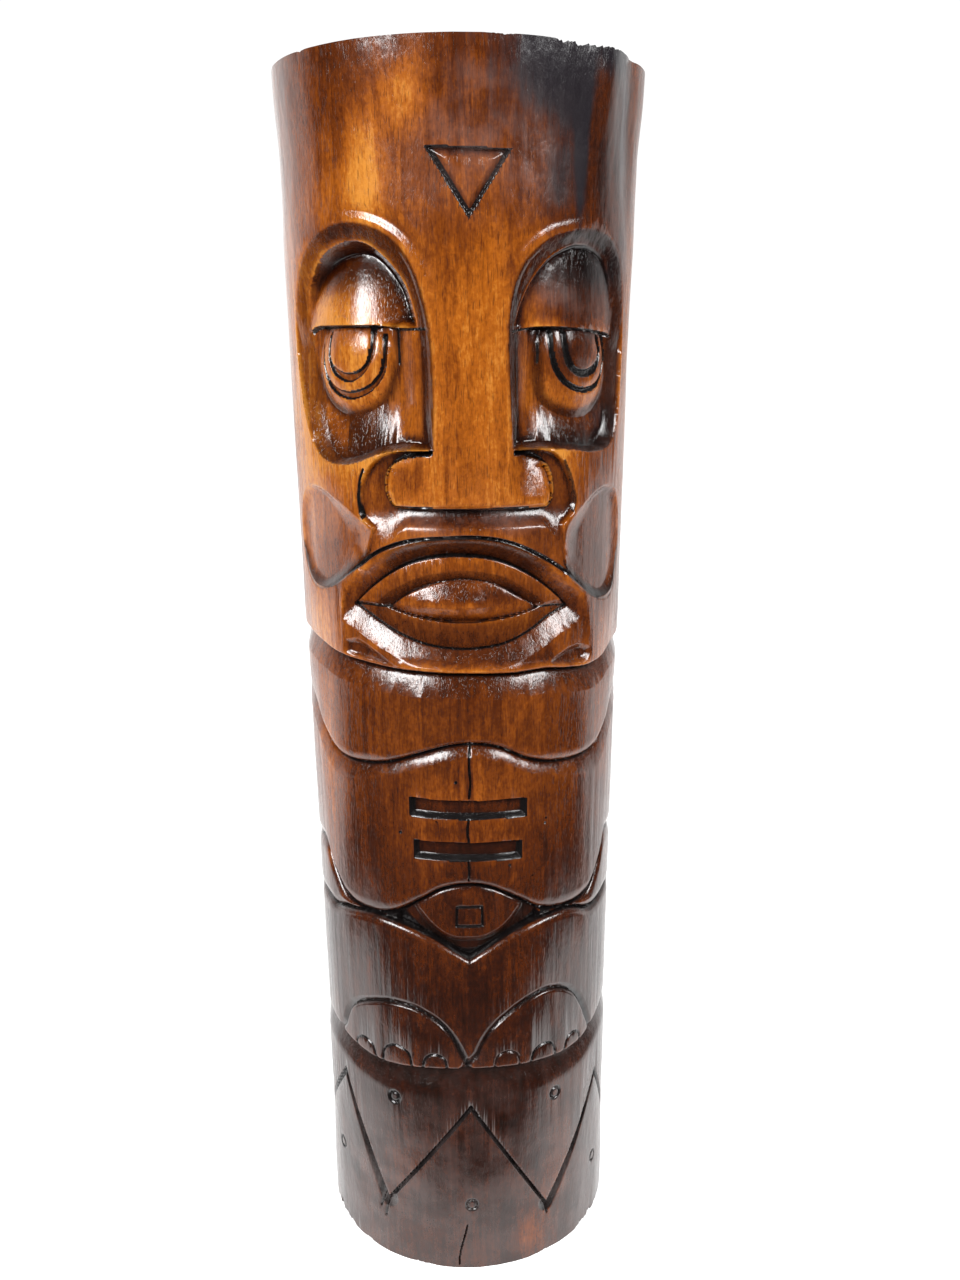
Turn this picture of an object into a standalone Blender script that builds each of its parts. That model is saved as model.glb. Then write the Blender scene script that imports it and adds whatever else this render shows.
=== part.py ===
# Tiki carving: one varnished log, carved all round with a long face, a collar, a belly, legs and feet
# over a zigzag foot band. Lengths at the top are in metres. The carving is laid out on the log's skin
# unrolled flat: (degrees round from the front, millimetres above the underside), and cut into it
# by depths in millimetres. The front faces -Y, +Z is up, the origin is the centre of the underside.
import bmesh
import bpy
import numpy as np

NODE = "tiki_carving"
HEIGHT = 0.500
BASE_RADIUS = 0.0640
TOP_RADIUS = 0.0710
LAYOUT_RADIUS = 0.0680          # radius on which degrees are turned into arc lengths
TRIANGLES = 9600                # of the finished solid

FRONT_COLUMNS = 170             # across the carved front
BACK_COLUMNS = 60               # round the plain back
ROWS = 420
FRONT_HALF_ANGLE = 92.0         # degrees covered by the fine columns each way from the front

SKIN = 0.6                      # general depth of the trunk below the log's own surface, mm
RIM_DEPTH = 3.3                 # chamfered rim round each eye, mm
LID_DEPTH = 2.7                 # upper lid where it is proudest
LID_FALL = 3.6                  # how far it falls away towards the nose
LID_SLOPE = 5.3                 # and towards the brow: a steady slope, then a curve
LID_TOP = 7.0
BALL_DEPTH = 3.2
BALL_FALL = 13.0
SCOOP_DEPTH = 5.3               # hollow round the eyeball, below the rim
PAD_DEPTH = 3.2
NOSE_STEP = 4.8
RING_DEPTH = 4.8
COLLAR_STEP = 3.2
BELLY_STEP = 3.8
LEG_STEP = 3.4
FOOT_STEP = 2.0
LEDGE_DEPTH = 3.4
ZIGZAG_DEPTH = 2.0
SLOT_DEPTH = 2.2

MM = 0.001
PER_DEGREE = LAYOUT_RADIUS / MM * np.pi / 180

# Outlines: (degrees, mm). A point given twice is a corner, every other point is on a smooth line.
LEFT_EYE = {
    "side": -1,
    "nose": -9.5,
    "socket": [(-9.4, 361), (-9.4, 361), (-9.2, 385), (-12, 417), (-17, 430.5), (-25, 438.3), (-36, 441.6),
               (-47, 439.3), (-57, 432.5), (-64, 419.5), (-67, 403), (-65.2, 386), (-61, 369), (-54, 358),
               (-45, 354.6), (-36, 355.8), (-27, 359.6)],
    "hollow": [(-59.6, 404.0), (-59.6, 404.0), (-60.6, 412.1), (-58.0, 421.7), (-51.6, 429.3), (-42.9, 433.2),
               (-33.0, 432.7), (-23.8, 427.7), (-17.4, 419.1), (-14.2, 404.0), (-14.2, 404.0)],
    "lid": [(-67.3, 403.0), (-56.5, 404.9), (-29.9, 405.2), (-9.5, 404.2)],
    "hood": (-44.0, 404.0, 24.0, 31.0),
    "ball": (-41.0, 391.0, 23.4, 23.4),
}
RIGHT_EYE = {
    "side": 1,
    "nose": 14.5,
    "socket": [(15.3, 360.8), (15.3, 360.8), (13.8, 385), (14.2, 412), (18, 426), (26, 434.8), (36, 438.4),
               (47, 438.9), (57, 434.5), (63.5, 424), (66.2, 408), (65.8, 386), (64, 369), (58, 360), (48, 358),
               (38, 359.6)],
    "hollow": [(16.3, 403.5), (16.3, 403.5), (20.8, 419.6), (27.8, 427.7), (37.6, 432.8), (46.7, 432.3),
               (54.9, 427.8), (59.6, 417.6), (60.3, 401.5), (60.3, 401.5)],
    "lid": [(14.5, 402.9), (30.1, 404.4), (48.0, 403.2), (67.4, 400.5)],
    "hood": (45.0, 402.5, 22.0, 31.0),
    "ball": (44.0, 390.5, 22.4, 23.0),
}
BROW_TRIANGLE = [(-10.5, 465), (-10.5, 465), (14.5, 464), (14.5, 464), (2, 441.5), (2, 441.5)]
NOSE = [(-9.7, 371.9), (-9.7, 371.9), (-9.7, 359.3), (-9.7, 359.3), (-20.8, 357.3), (-25.6, 347.9),
        (-20.8, 340.0), (-20.8, 340.0), (27.5, 339.1), (27.5, 339.1), (29.4, 347.8), (21.9, 358.4),
        (15.6, 358.9), (15.6, 358.9), (15.6, 371.9), (15.6, 371.9)]
MUZZLE = [(-16.2, 361.1), (-24.3, 360.1), (-35.0, 348.4), (-35.6, 334.4), (-35.6, 334.4), (-30.6, 331.3),
          (-38.5, 313.8), (-38.5, 313.8), (0.0, 325.9), (36.5, 308.8), (36.5, 308.8), (33.9, 331.4),
          (38.0, 335.4), (38.0, 335.4), (36.5, 351.4), (31.9, 358.4), (20.2, 361.1)]
LEFT_PAD = [(-30.6, 331.2), (-30.6, 331.2), (-45.5, 341.5), (-54.4, 345.1), (-66.1, 343.5), (-74.0, 329.0),
            (-68.5, 309.5), (-57.4, 304.7), (-45.5, 308.3), (-35.3, 316.9)]
RIGHT_PAD = [(34.9, 329.4), (44.0, 340.1), (55.5, 344.7), (66.1, 340.2), (70.3, 322.0), (66.6, 304.3),
             (55.5, 298.7), (44.0, 303.6), (35.4, 314.4)]
MOUSTACHE = [(-73.0, 317.0), (-68.6, 309.5), (-59.8, 304.0), (-48.8, 307.4), (-28.8, 322.8), (-14.8, 327.9),
             (0.1, 328.8), (15.0, 326.1), (25.8, 320.2), (47.0, 302.7), (58.7, 297.7), (67.0, 304.2),
             (70.0, 315.0)]
MOUTH = [(-38.5, 315.8), (-45.1, 299.8), (-43.6, 276.8), (-43.6, 276.8), (47.2, 273.7), (47.2, 273.7),
         (48.2, 294.8), (38.5, 308.8), (38.5, 308.8), (20.2, 325.9), (0.0, 331.9), (-20.2, 327.9)]
UPPER_LIP = [(-42.1, 300.0), (-21.7, 317.0), (-8.6, 321.1), (8.8, 320.1), (22.0, 313.5), (39.0, 298.5)]
LOWER_LIP = [(-41.7, 300.1), (-23.8, 290.2), (-8.6, 285.3), (8.7, 285.3), (22.9, 290.4), (38.6, 298.4)]
TONGUE = [(-27.2, 300.6), (-27.2, 300.6), (-9.7, 311.0), (0.1, 312.4), (9.9, 310.2), (25.8, 299.8),
          (25.8, 299.8), (0.1, 295.5)]
CHIN_RING = [(-180.0, 279.0), (-80.0, 283.0), (-50.0, 278.3), (-16.2, 275.4), (16.4, 274.2), (48.3, 271.5),
             (66.2, 276.4), (90.0, 279.0), (180.0, 279.0)]
COLLAR_EDGE = [(-108.0, 274.0), (-82.0, 258.5), (-62.1, 241.1), (-53.9, 235.1), (-43.3, 234.1), (-30.0, 236.4),
               (-17.0, 241.6), (-6.3, 245.5), (3.3, 246.3), (11.8, 244.1), (21.5, 238.5), (32.4, 234.8),
               (45.9, 233.7), (56.2, 235.3), (63.8, 242.2), (82.0, 258.5), (108.0, 273.0)]
BELLY_EDGE = [(-180.0, 186.0), (-95.0, 186.5), (-67.4, 188.3), (-60.6, 178.8), (-52.0, 170.1), (-40.6, 167.9),
              (-29.4, 170.3), (-18.3, 177.6), (-9.6, 183.6), (-1.0, 185.6), (7.7, 184.1), (18.6, 177.4),
              (28.5, 170.6), (41.0, 168.0), (53.6, 169.7), (61.1, 179.6), (67.5, 190.2), (95.0, 187.0),
              (180.0, 186.0)]
NAVEL = [(-25.0, 171.3), (-25.0, 171.3), (-16.2, 179.1), (0.1, 185.1), (19.8, 176.2), (27.5, 170.5),
         (27.5, 170.5), (8.8, 160.4), (0.1, 157.0), (-8.6, 160.0)]
WAIST = [(-180.0, 162.0), (-72.0, 162.8), (-61.2, 162.2), (-53.8, 164.7), (-41.6, 167.0), (-33.7, 167.3),
         (-13.9, 161.6), (0.1, 152.1), (0.1, 152.1), (15.2, 162.2), (35.1, 167.1), (44.3, 165.7), (53.4, 161.4),
         (61.6, 160.7), (75.0, 162.0), (180.0, 162.0)]
LEFT_FOOT = [(-58.6, 96.5), (-57.1, 106.5), (-51.8, 117.8), (-42.8, 124.3), (-32.5, 127.8), (-21.3, 127.5),
             (-12.2, 122.0), (-5.1, 112.5), (-1.0, 96.4)]
RIGHT_FOOT = [(1.0, 96.4), (7.1, 116.5), (14.7, 126.0), (24.4, 130.9), (34.6, 132.0), (43.9, 126.7),
              (49.9, 116.7), (55.8, 96.3)]
FOOT_LEDGE = [(-180.0, 104.0), (-82.0, 103.0), (-56.8, 100.3), (-40.9, 97.8), (-12.2, 99.9), (0.0, 100.5),
              (30.6, 98.4), (41.0, 97.9), (58.8, 101.7), (70.0, 105.5), (120.0, 105.0), (180.0, 104.0)]
ZIGZAG = [(-180, 81), (-152, 28), (-125, 81), (-97, 30), (-58.5, 83), (-34.7, 28.5), (0, 82.5), (31.2, 25.5),
          (63, 75.5), (89, 28), (119, 80), (150, 28), (180, 81)]
SLOTS = ((-20.9, 20.8, 219.0, 8.2), (-19.8, 19.3, 200.9, 8.0))     # left and right end, middle height, height
SLOT_FALL = 0.03                # how much the slots drop from left to right, mm per degree


def ease(t):
    """A smooth step from 0 to 1."""
    t = np.clip(t, 0, 1)
    return t * t * (3 - 2 * t)


def bump(x, middle, half_width):
    """A smooth hump of height 1."""
    return 1 - ease(np.abs(x - middle) / half_width)


def shoulder(t):
    """A rounded edge: 1 at the edge, falling away as a quarter circle to 0."""
    t = np.clip(t, 0, 1)
    return 1 - np.sqrt(1 - (1 - t) ** 2)


def cove(t):
    """A hollow wall: 0 at the edge, sloping in to a level floor at 1."""
    return np.sin(np.clip(t, 0, 1) * np.pi / 2)


def smooth_line(points, closed=False, steps=6):
    """Millimetre points along a smooth line through the given (degrees, mm) points."""
    p = np.array(points, float) * (PER_DEGREE, 1)
    if closed:
        p = np.vstack((p[-1], p, p[0], p[1]))
    else:
        p = np.vstack((2 * p[0] - p[1], p, 2 * p[-1] - p[-2]))
    line = []
    for before, start, end, after in zip(p[:-3], p[1:-2], p[2:-1], p[3:]):
        if np.allclose(start, end):
            continue
        for t in np.arange(steps) / steps:
            line.append(0.5 * (2 * start + (end - before) * t
                               + (2 * before - 5 * start + 4 * end - after) * t ** 2
                               + (3 * start - before - 3 * end + after) * t ** 3))
    line.append(p[-2])
    return np.array(line)


def distance(u, z, line, reach):
    """How far each point is from a line, up to reach."""
    nearest = np.full(u.shape, float(reach) ** 2)
    for (ax, az), (bx, bz) in zip(line[:-1], line[1:]):
        close = (u > min(ax, bx) - reach) & (u < max(ax, bx) + reach)
        close &= (z > min(az, bz) - reach) & (z < max(az, bz) + reach)
        length = max((bx - ax) ** 2 + (bz - az) ** 2, 1e-9)
        du = u[close] - ax
        dz = z[close] - az
        t = np.clip((du * (bx - ax) + dz * (bz - az)) / length, 0, 1)
        gap = (du - t * (bx - ax)) ** 2 + (dz - t * (bz - az)) ** 2
        nearest[close] = np.minimum(nearest[close], gap)
    return np.sqrt(nearest)


def inset(u, z, outline, reach=30.0):
    """How far each point is inside a closed outline, negative outside it."""
    ring = smooth_line(outline, closed=True)
    ring = np.vstack((ring, ring[:1]))
    inside = np.zeros(u.shape, bool)
    for (ax, az), (bx, bz) in zip(ring[:-1], ring[1:]):
        if az != bz:
            crosses = (az > z) != (bz > z)
            inside ^= crosses & (u < (bx - ax) * (z - az) / (bz - az) + ax)
    gap = distance(u, z, ring, reach)
    return np.where(inside, gap, -gap)


def height_of(u, points, smooth=True):
    """Height of a line that runs round the log, at each point's arc length."""
    line = smooth_line(points) if smooth else np.array(points, float) * (PER_DEGREE, 1)
    return np.interp(u, line[:, 0], line[:, 1])


def log_radius(angle, z):
    """The log before carving, mm: a slight taper, a flare at both ends and two natural lobes."""
    height = HEIGHT / MM
    radius = BASE_RADIUS / MM + (TOP_RADIUS - BASE_RADIUS) / MM * z / height
    radius = radius + 0.8 * ease((z - height + 32) / 32) + 0.8 * ease((60 - z) / 50)
    radius = radius - 0.5 * ease((z - 432) / 26) * (1 - ease((z - 464) / 30))
    front_lobe = 2.4 * bump(angle, 48, 13) - 1.4 * bump(angle, 66, 8)
    side_lobe = 2.8 * bump(angle, 92, 24)
    return radius + front_lobe * ease((z - 425) / 70) + side_lobe * ease((z - 385) / 110)


def carve_trunk(angle, u, z):
    """Collar, belly, hips, legs and foot band, each rolling off into the cut below and above it."""
    ring = height_of(u, CHIN_RING)
    collar = height_of(u, COLLAR_EDGE)
    belly = height_of(u, BELLY_EDGE)
    waist = height_of(u, WAIST)
    ledge = height_of(u, FOOT_LEDGE)
    behind = ease((np.abs(angle) - 70) / 30)
    shallow = 1 - 0.45 * behind
    fade = 1 - ease((np.abs(angle) - 92) / 14)
    chest = 5 + 5 * ease((np.abs(angle) - 25) / 30)

    face = RING_DEPTH * shallow * shoulder((z - ring) / 3)
    collar_band = SKIN + COLLAR_STEP * fade * shoulder((z - collar) / 6)
    belly_top = COLLAR_STEP * fade * (1 - np.clip((collar - z) / (chest + 1), 0, 1))
    belly_foot = BELLY_STEP * shallow * shoulder((z - belly) / 6.5)
    hip = SKIN + LEG_STEP * shallow * shoulder(np.minimum(belly - z, z - waist) / 6)
    navel = inset(u, z, NAVEL)
    middle = np.where(navel > 0, 4.8 - 2.3 * (1 - shoulder(navel / 5)), 4.8)
    hip = np.where(np.abs(angle) < 26, middle, hip)
    legs = SKIN + np.maximum(LEG_STEP * shallow * shoulder((waist - z) / 4.5), 0.9 * shoulder((z - ledge) / 2))
    foot_band = LEDGE_DEPTH * shallow * (1 - ease((ledge - z) / 13))

    depth = np.select([z > ring, z > collar, z > belly, z > waist, z > ledge],
                      [face, collar_band, SKIN + np.maximum(belly_top, belly_foot), hip, legs], foot_band)
    ring_shoulder = RING_DEPTH * shallow * (1 - np.clip((ring - z) / 12, 0, 1))
    return np.where(z < ring, np.maximum(depth, ring_shoulder), depth)


def carve_belly_slots(angle, u, z, depth):
    """Two level slots cut in the belly, one over the other."""
    for left, right, middle, tall in SLOTS:
        in_height = tall / 2 - np.abs(z - middle + SLOT_FALL * angle)
        in_width = np.minimum(angle - left, right - angle) * PER_DEGREE
        depth = depth + SLOT_DEPTH * ease(np.minimum(in_height, in_width) / 1.2)
    return depth


def carve_feet(u, z, depth):
    """The legs are cut back round each foot."""
    on_legs = z > height_of(u, FOOT_LEDGE)
    for outline in (LEFT_FOOT, RIGHT_FOOT):
        foot = inset(u, z, outline, 8)
        bevel = np.clip(1 + foot / 3.2, 0, 1)
        cut = np.where(foot < 0, bevel, shoulder(foot / 1.8))
        depth = depth + FOOT_STEP * cut * on_legs
    return depth


def carve_zigzag(u, z, depth):
    """A row of pointed teeth: an upright wall above, a long bevel below."""
    line = np.array(ZIGZAG, float) * (PER_DEGREE, 1)
    bevel = np.where(z > height_of(u, ZIGZAG, smooth=False), 1.0, 3.6)
    return depth + ZIGZAG_DEPTH * np.clip(1 - distance(u, z, line, 6) / bevel, 0, 1)


def carve_eye(u, z, depth, eye):
    """A deep socket with a bulging upper lid over a half-covered eyeball."""
    socket = inset(u, z, eye["socket"])
    hollow = inset(u, z, eye["hollow"], 12)
    from_nose = eye["side"] * (u - eye["nose"] * PER_DEGREE)
    rim_width = 4.4 + 3.2 * ease(from_nose / 60)

    aside, up = across_oval(u, z, eye["hood"])
    fall = np.where(aside * eye["side"] < 0, LID_FALL, LID_FALL / 3) * np.clip(np.abs(aside), 0, 1.15) ** 2
    up = np.clip(up, 0, 0.99)
    hood = LID_DEPTH + fall + LID_SLOPE * up + LID_TOP * (1 - np.sqrt(1 - up ** 2))
    across = np.clip(socket / np.maximum(socket - hollow, 0.1), 0, 1)
    upper = 0.3 + RIM_DEPTH * across
    upper = np.where(hollow > 0, np.minimum(upper + 2.2 * hollow, hood), upper)

    aside, up = across_oval(u, z, eye["ball"])
    ball = BALL_DEPTH + BALL_FALL * (1 - np.sqrt(np.clip(1 - aside ** 2 - up ** 2, 0, 1)))
    temple = aside * eye["side"]
    trough = np.clip((z - 357.5) / 20, 0, 1) * (1 - ease((-temple - 0.87) / 0.45))
    trough = trough * (1 - 0.75 * ease(temple - 0.15))
    wall = 0.3 + RIM_DEPTH * np.clip(socket / (2.8 + (rim_width - 2.8) * ease((z - 360) / 18)), 0, 1)
    lower = np.minimum(wall + SCOOP_DEPTH * trough, np.maximum(ball, wall))

    above_lid = ease((z - height_of(u, eye["lid"])) / 1.4 + 0.5)
    return np.maximum(depth, np.where(socket > 0, lower + (upper - lower) * above_lid, 0))


def across_oval(u, z, oval):
    """How far across and up an oval each point lies, 1 at its edge; the oval is (degrees, mm, degrees, mm)."""
    middle, height, half_width, half_height = oval
    return (u - middle * PER_DEGREE) / (half_width * PER_DEGREE), (z - height) / half_height


def carve_muzzle(u, z, depth):
    """The upper lip and the folds beside the nostrils, cut back so that the nose stands proud."""
    nose = inset(u, z, NOSE)
    muzzle = inset(u, z, MUZZLE)
    beside = -nose
    slope = (0.9 + (NOSE_STEP - 0.9) * (1 - np.clip(beside / 9.5, 0, 1))) * ease(beside / 1.6)
    depth = np.where((muzzle > 0) & (nose < 0), np.maximum(depth, slope * ease(muzzle / 1.6)), depth)
    return np.where((nose > 0) & (z < 362), np.maximum(depth, 1.8 * shoulder(nose / 4.5)), depth)


def carve_cheek_pads(u, z, depth):
    """Two hollow leaf shapes on the cheeks."""
    for outline in (LEFT_PAD, RIGHT_PAD):
        pad = inset(u, z, outline)
        depth = np.where(pad > 0, np.maximum(depth, PAD_DEPTH * cove(pad / 7)), depth)
    return depth


def carve_mouth(angle, u, z, depth):
    """Pouting lips round a ridged tongue, in a shallow field under the moustache line."""
    mouth = inset(u, z, MOUTH)
    field = 1.8 * ease(mouth / 4)
    in_span = (angle > UPPER_LIP[0][0]) & (angle < UPPER_LIP[-1][0])
    upper = np.where(in_span, height_of(u, UPPER_LIP), 301)
    lower = np.where(in_span, height_of(u, LOWER_LIP), 301)
    to_upper = distance(u, z, smooth_line(UPPER_LIP), 14)
    to_lower = distance(u, z, smooth_line(LOWER_LIP), 14)
    lips = (z < upper) & (z > lower)

    above_lips = field + 3.2 * (1 - np.clip(to_upper / 7.5, 0, 1)) * ease((14 - to_upper) / 2)
    upper_lip = 2.6 + 2.6 * np.clip(to_upper / 9.5, 0, 1) ** 1.5
    lower_lip = 3.0 + 1.2 * np.clip(1 - to_lower / 10, 0, 1)
    chin = np.maximum(field * 0.7, 1.2 + 3.6 * (1 - np.clip(to_lower / 8.5, 0, 1)))

    tongue = inset(u, z, TONGUE, 14)
    ridge = np.clip(1 - np.abs(z - 301.8) / np.where(z > 301.8, 11.5, 5.5), 0, 1)
    lip = np.where(z > 301.5, upper_lip, lower_lip)
    crown = 1 - np.clip(np.abs(angle - 1) / 28, 0, 1) ** 2.5
    lip = np.where(tongue > 0, 4.9 - 3.8 * ridge * crown, lip)

    around = np.where(z > upper, above_lips, chin)
    under_line = (mouth > 0) & (z < height_of(u, MOUSTACHE)) & ~lips
    depth = np.where(under_line, np.maximum(depth, around), depth)
    depth = np.where(lips, lip, depth)

    line = smooth_line(MOUSTACHE)
    roll = 2.2 * shoulder(distance(u, z, line, 6) / 4.5) * (z > height_of(u, MOUSTACHE)) * (np.abs(angle) < 33)
    return np.maximum(depth, roll)


def carving_depth(angle, z):
    """Depth of the whole carving below the log's surface, mm."""
    u = angle * PER_DEGREE
    depth = carve_trunk(angle, u, z)
    brow = inset(u, z, BROW_TRIANGLE, 12)
    depth = np.maximum(depth, ease(brow / 1.2) * (0.35 + 2.1 * np.clip(1 - brow / 3.4, 0, 1)))
    for eye in (LEFT_EYE, RIGHT_EYE):
        depth = carve_eye(u, z, depth, eye)
    depth = carve_muzzle(u, z, depth)
    depth = carve_cheek_pads(u, z, depth)
    depth = carve_mouth(angle, u, z, depth)
    depth = carve_belly_slots(angle, u, z, depth)
    depth = carve_feet(u, z, depth)
    return carve_zigzag(u, z, depth)


def angles_across(t):
    """Angle of a column at t from -1 to 1: close columns on the front, wide ones behind."""
    fine = FRONT_COLUMNS / (FRONT_COLUMNS + BACK_COLUMNS)
    return np.interp(t, [-1, -fine, fine, 1], [-180, -FRONT_HALF_ANGLE, FRONT_HALF_ANGLE, 180])


def carved_log():
    """The log's skin as a flat grid, wrapped round, carved, joined at the back and closed at both ends."""
    bm = bmesh.new()
    bmesh.ops.create_grid(bm, x_segments=FRONT_COLUMNS + BACK_COLUMNS, y_segments=ROWS, size=1)
    sheet = np.array([v.co for v in bm.verts])
    angle = angles_across(sheet[:, 0])
    z = (sheet[:, 1] + 1) / 2 * HEIGHT / MM
    radius = (log_radius(angle, z) - carving_depth(angle, z)) * MM
    turn = np.radians(angle)
    placed = np.stack((radius * np.sin(turn), -radius * np.cos(turn), z * MM), axis=1)
    for vert, place in zip(bm.verts, placed):
        vert.co = place
    bmesh.ops.remove_doubles(bm, verts=bm.verts, dist=0.02 * MM)
    bmesh.ops.holes_fill(bm, edges=[e for e in bm.edges if e.is_boundary], sides=0)
    bmesh.ops.recalc_face_normals(bm, faces=bm.faces)
    bmesh.ops.triangulate(bm, faces=bm.faces)
    mesh = bpy.data.meshes.new(NODE)
    bm.to_mesh(mesh)
    bm.free()
    return mesh


def varnished_wood():
    material = bpy.data.materials.new("varnished_wood")
    material.use_nodes = True
    shader = material.node_tree.nodes["Principled BSDF"]
    shader.inputs["Base Color"].default_value = (0.20, 0.062, 0.018, 1)
    shader.inputs["Roughness"].default_value = 0.25
    shader.inputs["Metallic"].default_value = 0.0
    return material


def facet(tiki):
    """Reduce the skin to broad facets, and set both sawn ends dead level again."""
    decimate = tiki.modifiers.new("facets", "DECIMATE")
    decimate.ratio = TRIANGLES / len(tiki.data.polygons)
    mesh = bpy.data.meshes.new_from_object(tiki.evaluated_get(bpy.context.evaluated_depsgraph_get()))
    tiki.modifiers.remove(decimate)
    tiki.data = mesh
    for vert in mesh.vertices:
        for level in (0.0, HEIGHT):
            if abs(vert.co.z - level) < 0.05 * MM:
                vert.co.z = level


def build():
    for old in list(bpy.data.objects):
        bpy.data.objects.remove(old, do_unlink=True)
    collection = bpy.data.collections.new("tiki")
    bpy.context.scene.collection.children.link(collection)
    tiki = bpy.data.objects.new(NODE, carved_log())
    tiki.data.materials.append(varnished_wood())
    collection.objects.link(tiki)
    facet(tiki)


build()
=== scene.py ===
import math
import bmesh
import bpy
import numpy as np
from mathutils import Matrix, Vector


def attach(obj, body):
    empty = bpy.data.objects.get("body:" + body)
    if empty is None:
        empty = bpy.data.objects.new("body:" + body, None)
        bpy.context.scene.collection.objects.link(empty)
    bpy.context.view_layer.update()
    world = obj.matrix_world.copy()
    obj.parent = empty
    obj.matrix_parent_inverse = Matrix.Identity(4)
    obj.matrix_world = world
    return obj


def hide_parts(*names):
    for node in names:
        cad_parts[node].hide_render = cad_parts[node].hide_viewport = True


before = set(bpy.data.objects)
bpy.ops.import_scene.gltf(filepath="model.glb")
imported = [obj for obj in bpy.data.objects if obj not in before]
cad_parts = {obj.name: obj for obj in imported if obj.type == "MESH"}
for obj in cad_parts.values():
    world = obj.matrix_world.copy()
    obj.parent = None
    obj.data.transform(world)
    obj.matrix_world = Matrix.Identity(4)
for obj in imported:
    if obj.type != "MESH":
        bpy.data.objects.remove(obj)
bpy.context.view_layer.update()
scene = bpy.context.scene


# The carving is laid out on the log's skin unrolled flat, as (degrees round from the front, mm above the
# underside), and is cut in by depths in mm below that skin. The front faces -Y.
log = {
    "height": 500.0,
    "baseRadius": 64.0,
    "topRadius": 71.0,
    "flare": 0.8,           # mm wider at both ends, and narrower below the top one
    "waist": 0.5,
    # natural swellings: degrees, half width, mm, the height where it starts and how far up it grows
    "lobes": [(48, 13, 2.4, 425, 70), (66, 8, -1.4, 425, 70), (92, 24, 2.8, 385, 110)],
    "layoutRadius": 68.0,   # the skin is unrolled at this radius
    "frontHalf": 94.0,      # degrees covered by fine columns each way
    "frontColumns": 440,
    "backColumns": 200,
    "rows": 1000,
    "endRows": 50,          # rows that fold over each sawn end
    "triangles": 190000,
    "evenness": 1e-6,       # keeps the triangles from growing long where the log is straight
    "skin": 0.6,            # mm that the bands below the chin are planed off
    "uneven": 0.22,         # mm of soft unevenness over the sides
    "hollows": [(4, 0.8), (10, 0.2)],       # grid steps over which a hollow is told, and its share; hollows get painted shade
    "weld": 0.00002,        # metres
    "crisp": 50,            # degrees of bend that stay a sharp edge
    "seed": 7,
}
perDegree = log["layoutRadius"] * math.pi / 180


def ease(t):
    t = np.clip(t, 0, 1)
    return t * t * (3 - 2 * t)


def ramp(x, start, over):       # 0 up to start, 1 from start + over on
    return ease((x - start) / over)


def upTo(x, end, over):         # 1 up to end - over, 0 from end on
    return ease((end - x) / over)


def shoulder(t):        # rounded edge: 1 at the edge, a quarter circle down to 0
    t = np.clip(t, 0, 1)
    return 1 - np.sqrt(1 - (1 - t) ** 2)


def hump(x, middle, half):
    return 1 - ease(np.abs(x - middle) / half)


def lesser(first, second, soft):       # the smaller of two depths, with the corner between them rounded
    share = np.clip(0.5 + 0.5 * (second - first) / soft, 0, 1)
    return second * (1 - share) + first * share - soft * share * (1 - share)


def curve(points, closed=False, steps=6):
    # a smooth line through (degrees, mm) points, in mm; a point given twice is a corner
    p = np.array(points, float) * (perDegree, 1)
    if closed:
        p = np.vstack((p[-1], p, p[0], p[1]))
    else:
        p = np.vstack((2 * p[0] - p[1], p, 2 * p[-1] - p[-2]))
    line = []
    for before, start, end, after in zip(p[:-3], p[1:-2], p[2:-1], p[3:]):
        if np.allclose(start, end):
            continue
        for t in np.arange(steps) / steps:
            line.append(0.5 * (2 * start + (end - before) * t
                               + (2 * before - 5 * start + 4 * end - after) * t ** 2
                               + (3 * start - before - 3 * end + after) * t ** 3))
    line.append(p[-2])
    return np.array(line)


def straight(points):
    return np.array(points, float) * (perDegree, 1)


def gapTo(u, z, line, reach):
    # distance to a line, up to reach
    gap = np.full(u.shape, float(reach))
    low, high = line.min(0) - reach, line.max(0) + reach
    pick = np.nonzero((u > low[0]) & (u < high[0]) & (z > low[1]) & (z < high[1]))[0]
    x, y = u[pick], z[pick]
    best = np.full(x.shape, float(reach) ** 2)
    for (ax, ay), (bx, by) in zip(line[:-1], line[1:]):
        close = (x > min(ax, bx) - reach) & (x < max(ax, bx) + reach)
        close &= (y > min(ay, by) - reach) & (y < max(ay, by) + reach)
        dx, dy = x[close] - ax, y[close] - ay
        along = np.clip((dx * (bx - ax) + dy * (by - ay)) / max((bx - ax) ** 2 + (by - ay) ** 2, 1e-9), 0, 1)
        best[close] = np.minimum(best[close], (dx - along * (bx - ax)) ** 2 + (dy - along * (by - ay)) ** 2)
    gap[pick] = np.sqrt(best)
    return gap


def within(u, z, loop, reach=30.0):
    # distance in from the edge of a closed outline, negative outside it
    ring = np.vstack((loop, loop[:1]))
    low, high = loop.min(0), loop.max(0)
    pick = np.nonzero((u > low[0]) & (u < high[0]) & (z > low[1]) & (z < high[1]))[0]
    x, y = u[pick], z[pick]
    odd = np.zeros(x.shape, bool)
    for (ax, ay), (bx, by) in zip(ring[:-1], ring[1:]):
        if ay != by:
            odd ^= ((ay > y) != (by > y)) & (x < (bx - ax) * (y - ay) / (by - ay) + ax)
    gap = gapTo(u, z, ring, reach)
    inside = np.zeros(u.shape, bool)
    inside[pick] = odd
    return np.where(inside, gap, -gap)


def heightOf(u, points, smooth=True):
    line = curve(points) if smooth else straight(points)
    return np.interp(u, line[:, 0], line[:, 1])


def waves(x, y, z, lengths, seed):
    # soft unevenness between -1 and 1, the same all round with no seam
    pick = np.random.default_rng(seed)
    total = np.zeros(x.shape)
    for length in lengths:
        way = pick.normal(size=3) * (1, 1, 0.55)
        way = way / np.linalg.norm(way) * 2 * np.pi / length
        total += np.sin(way[0] * x + way[1] * y + way[2] * z + pick.uniform(0, 2 * np.pi))
    return total / math.sqrt(len(lengths))


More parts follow.
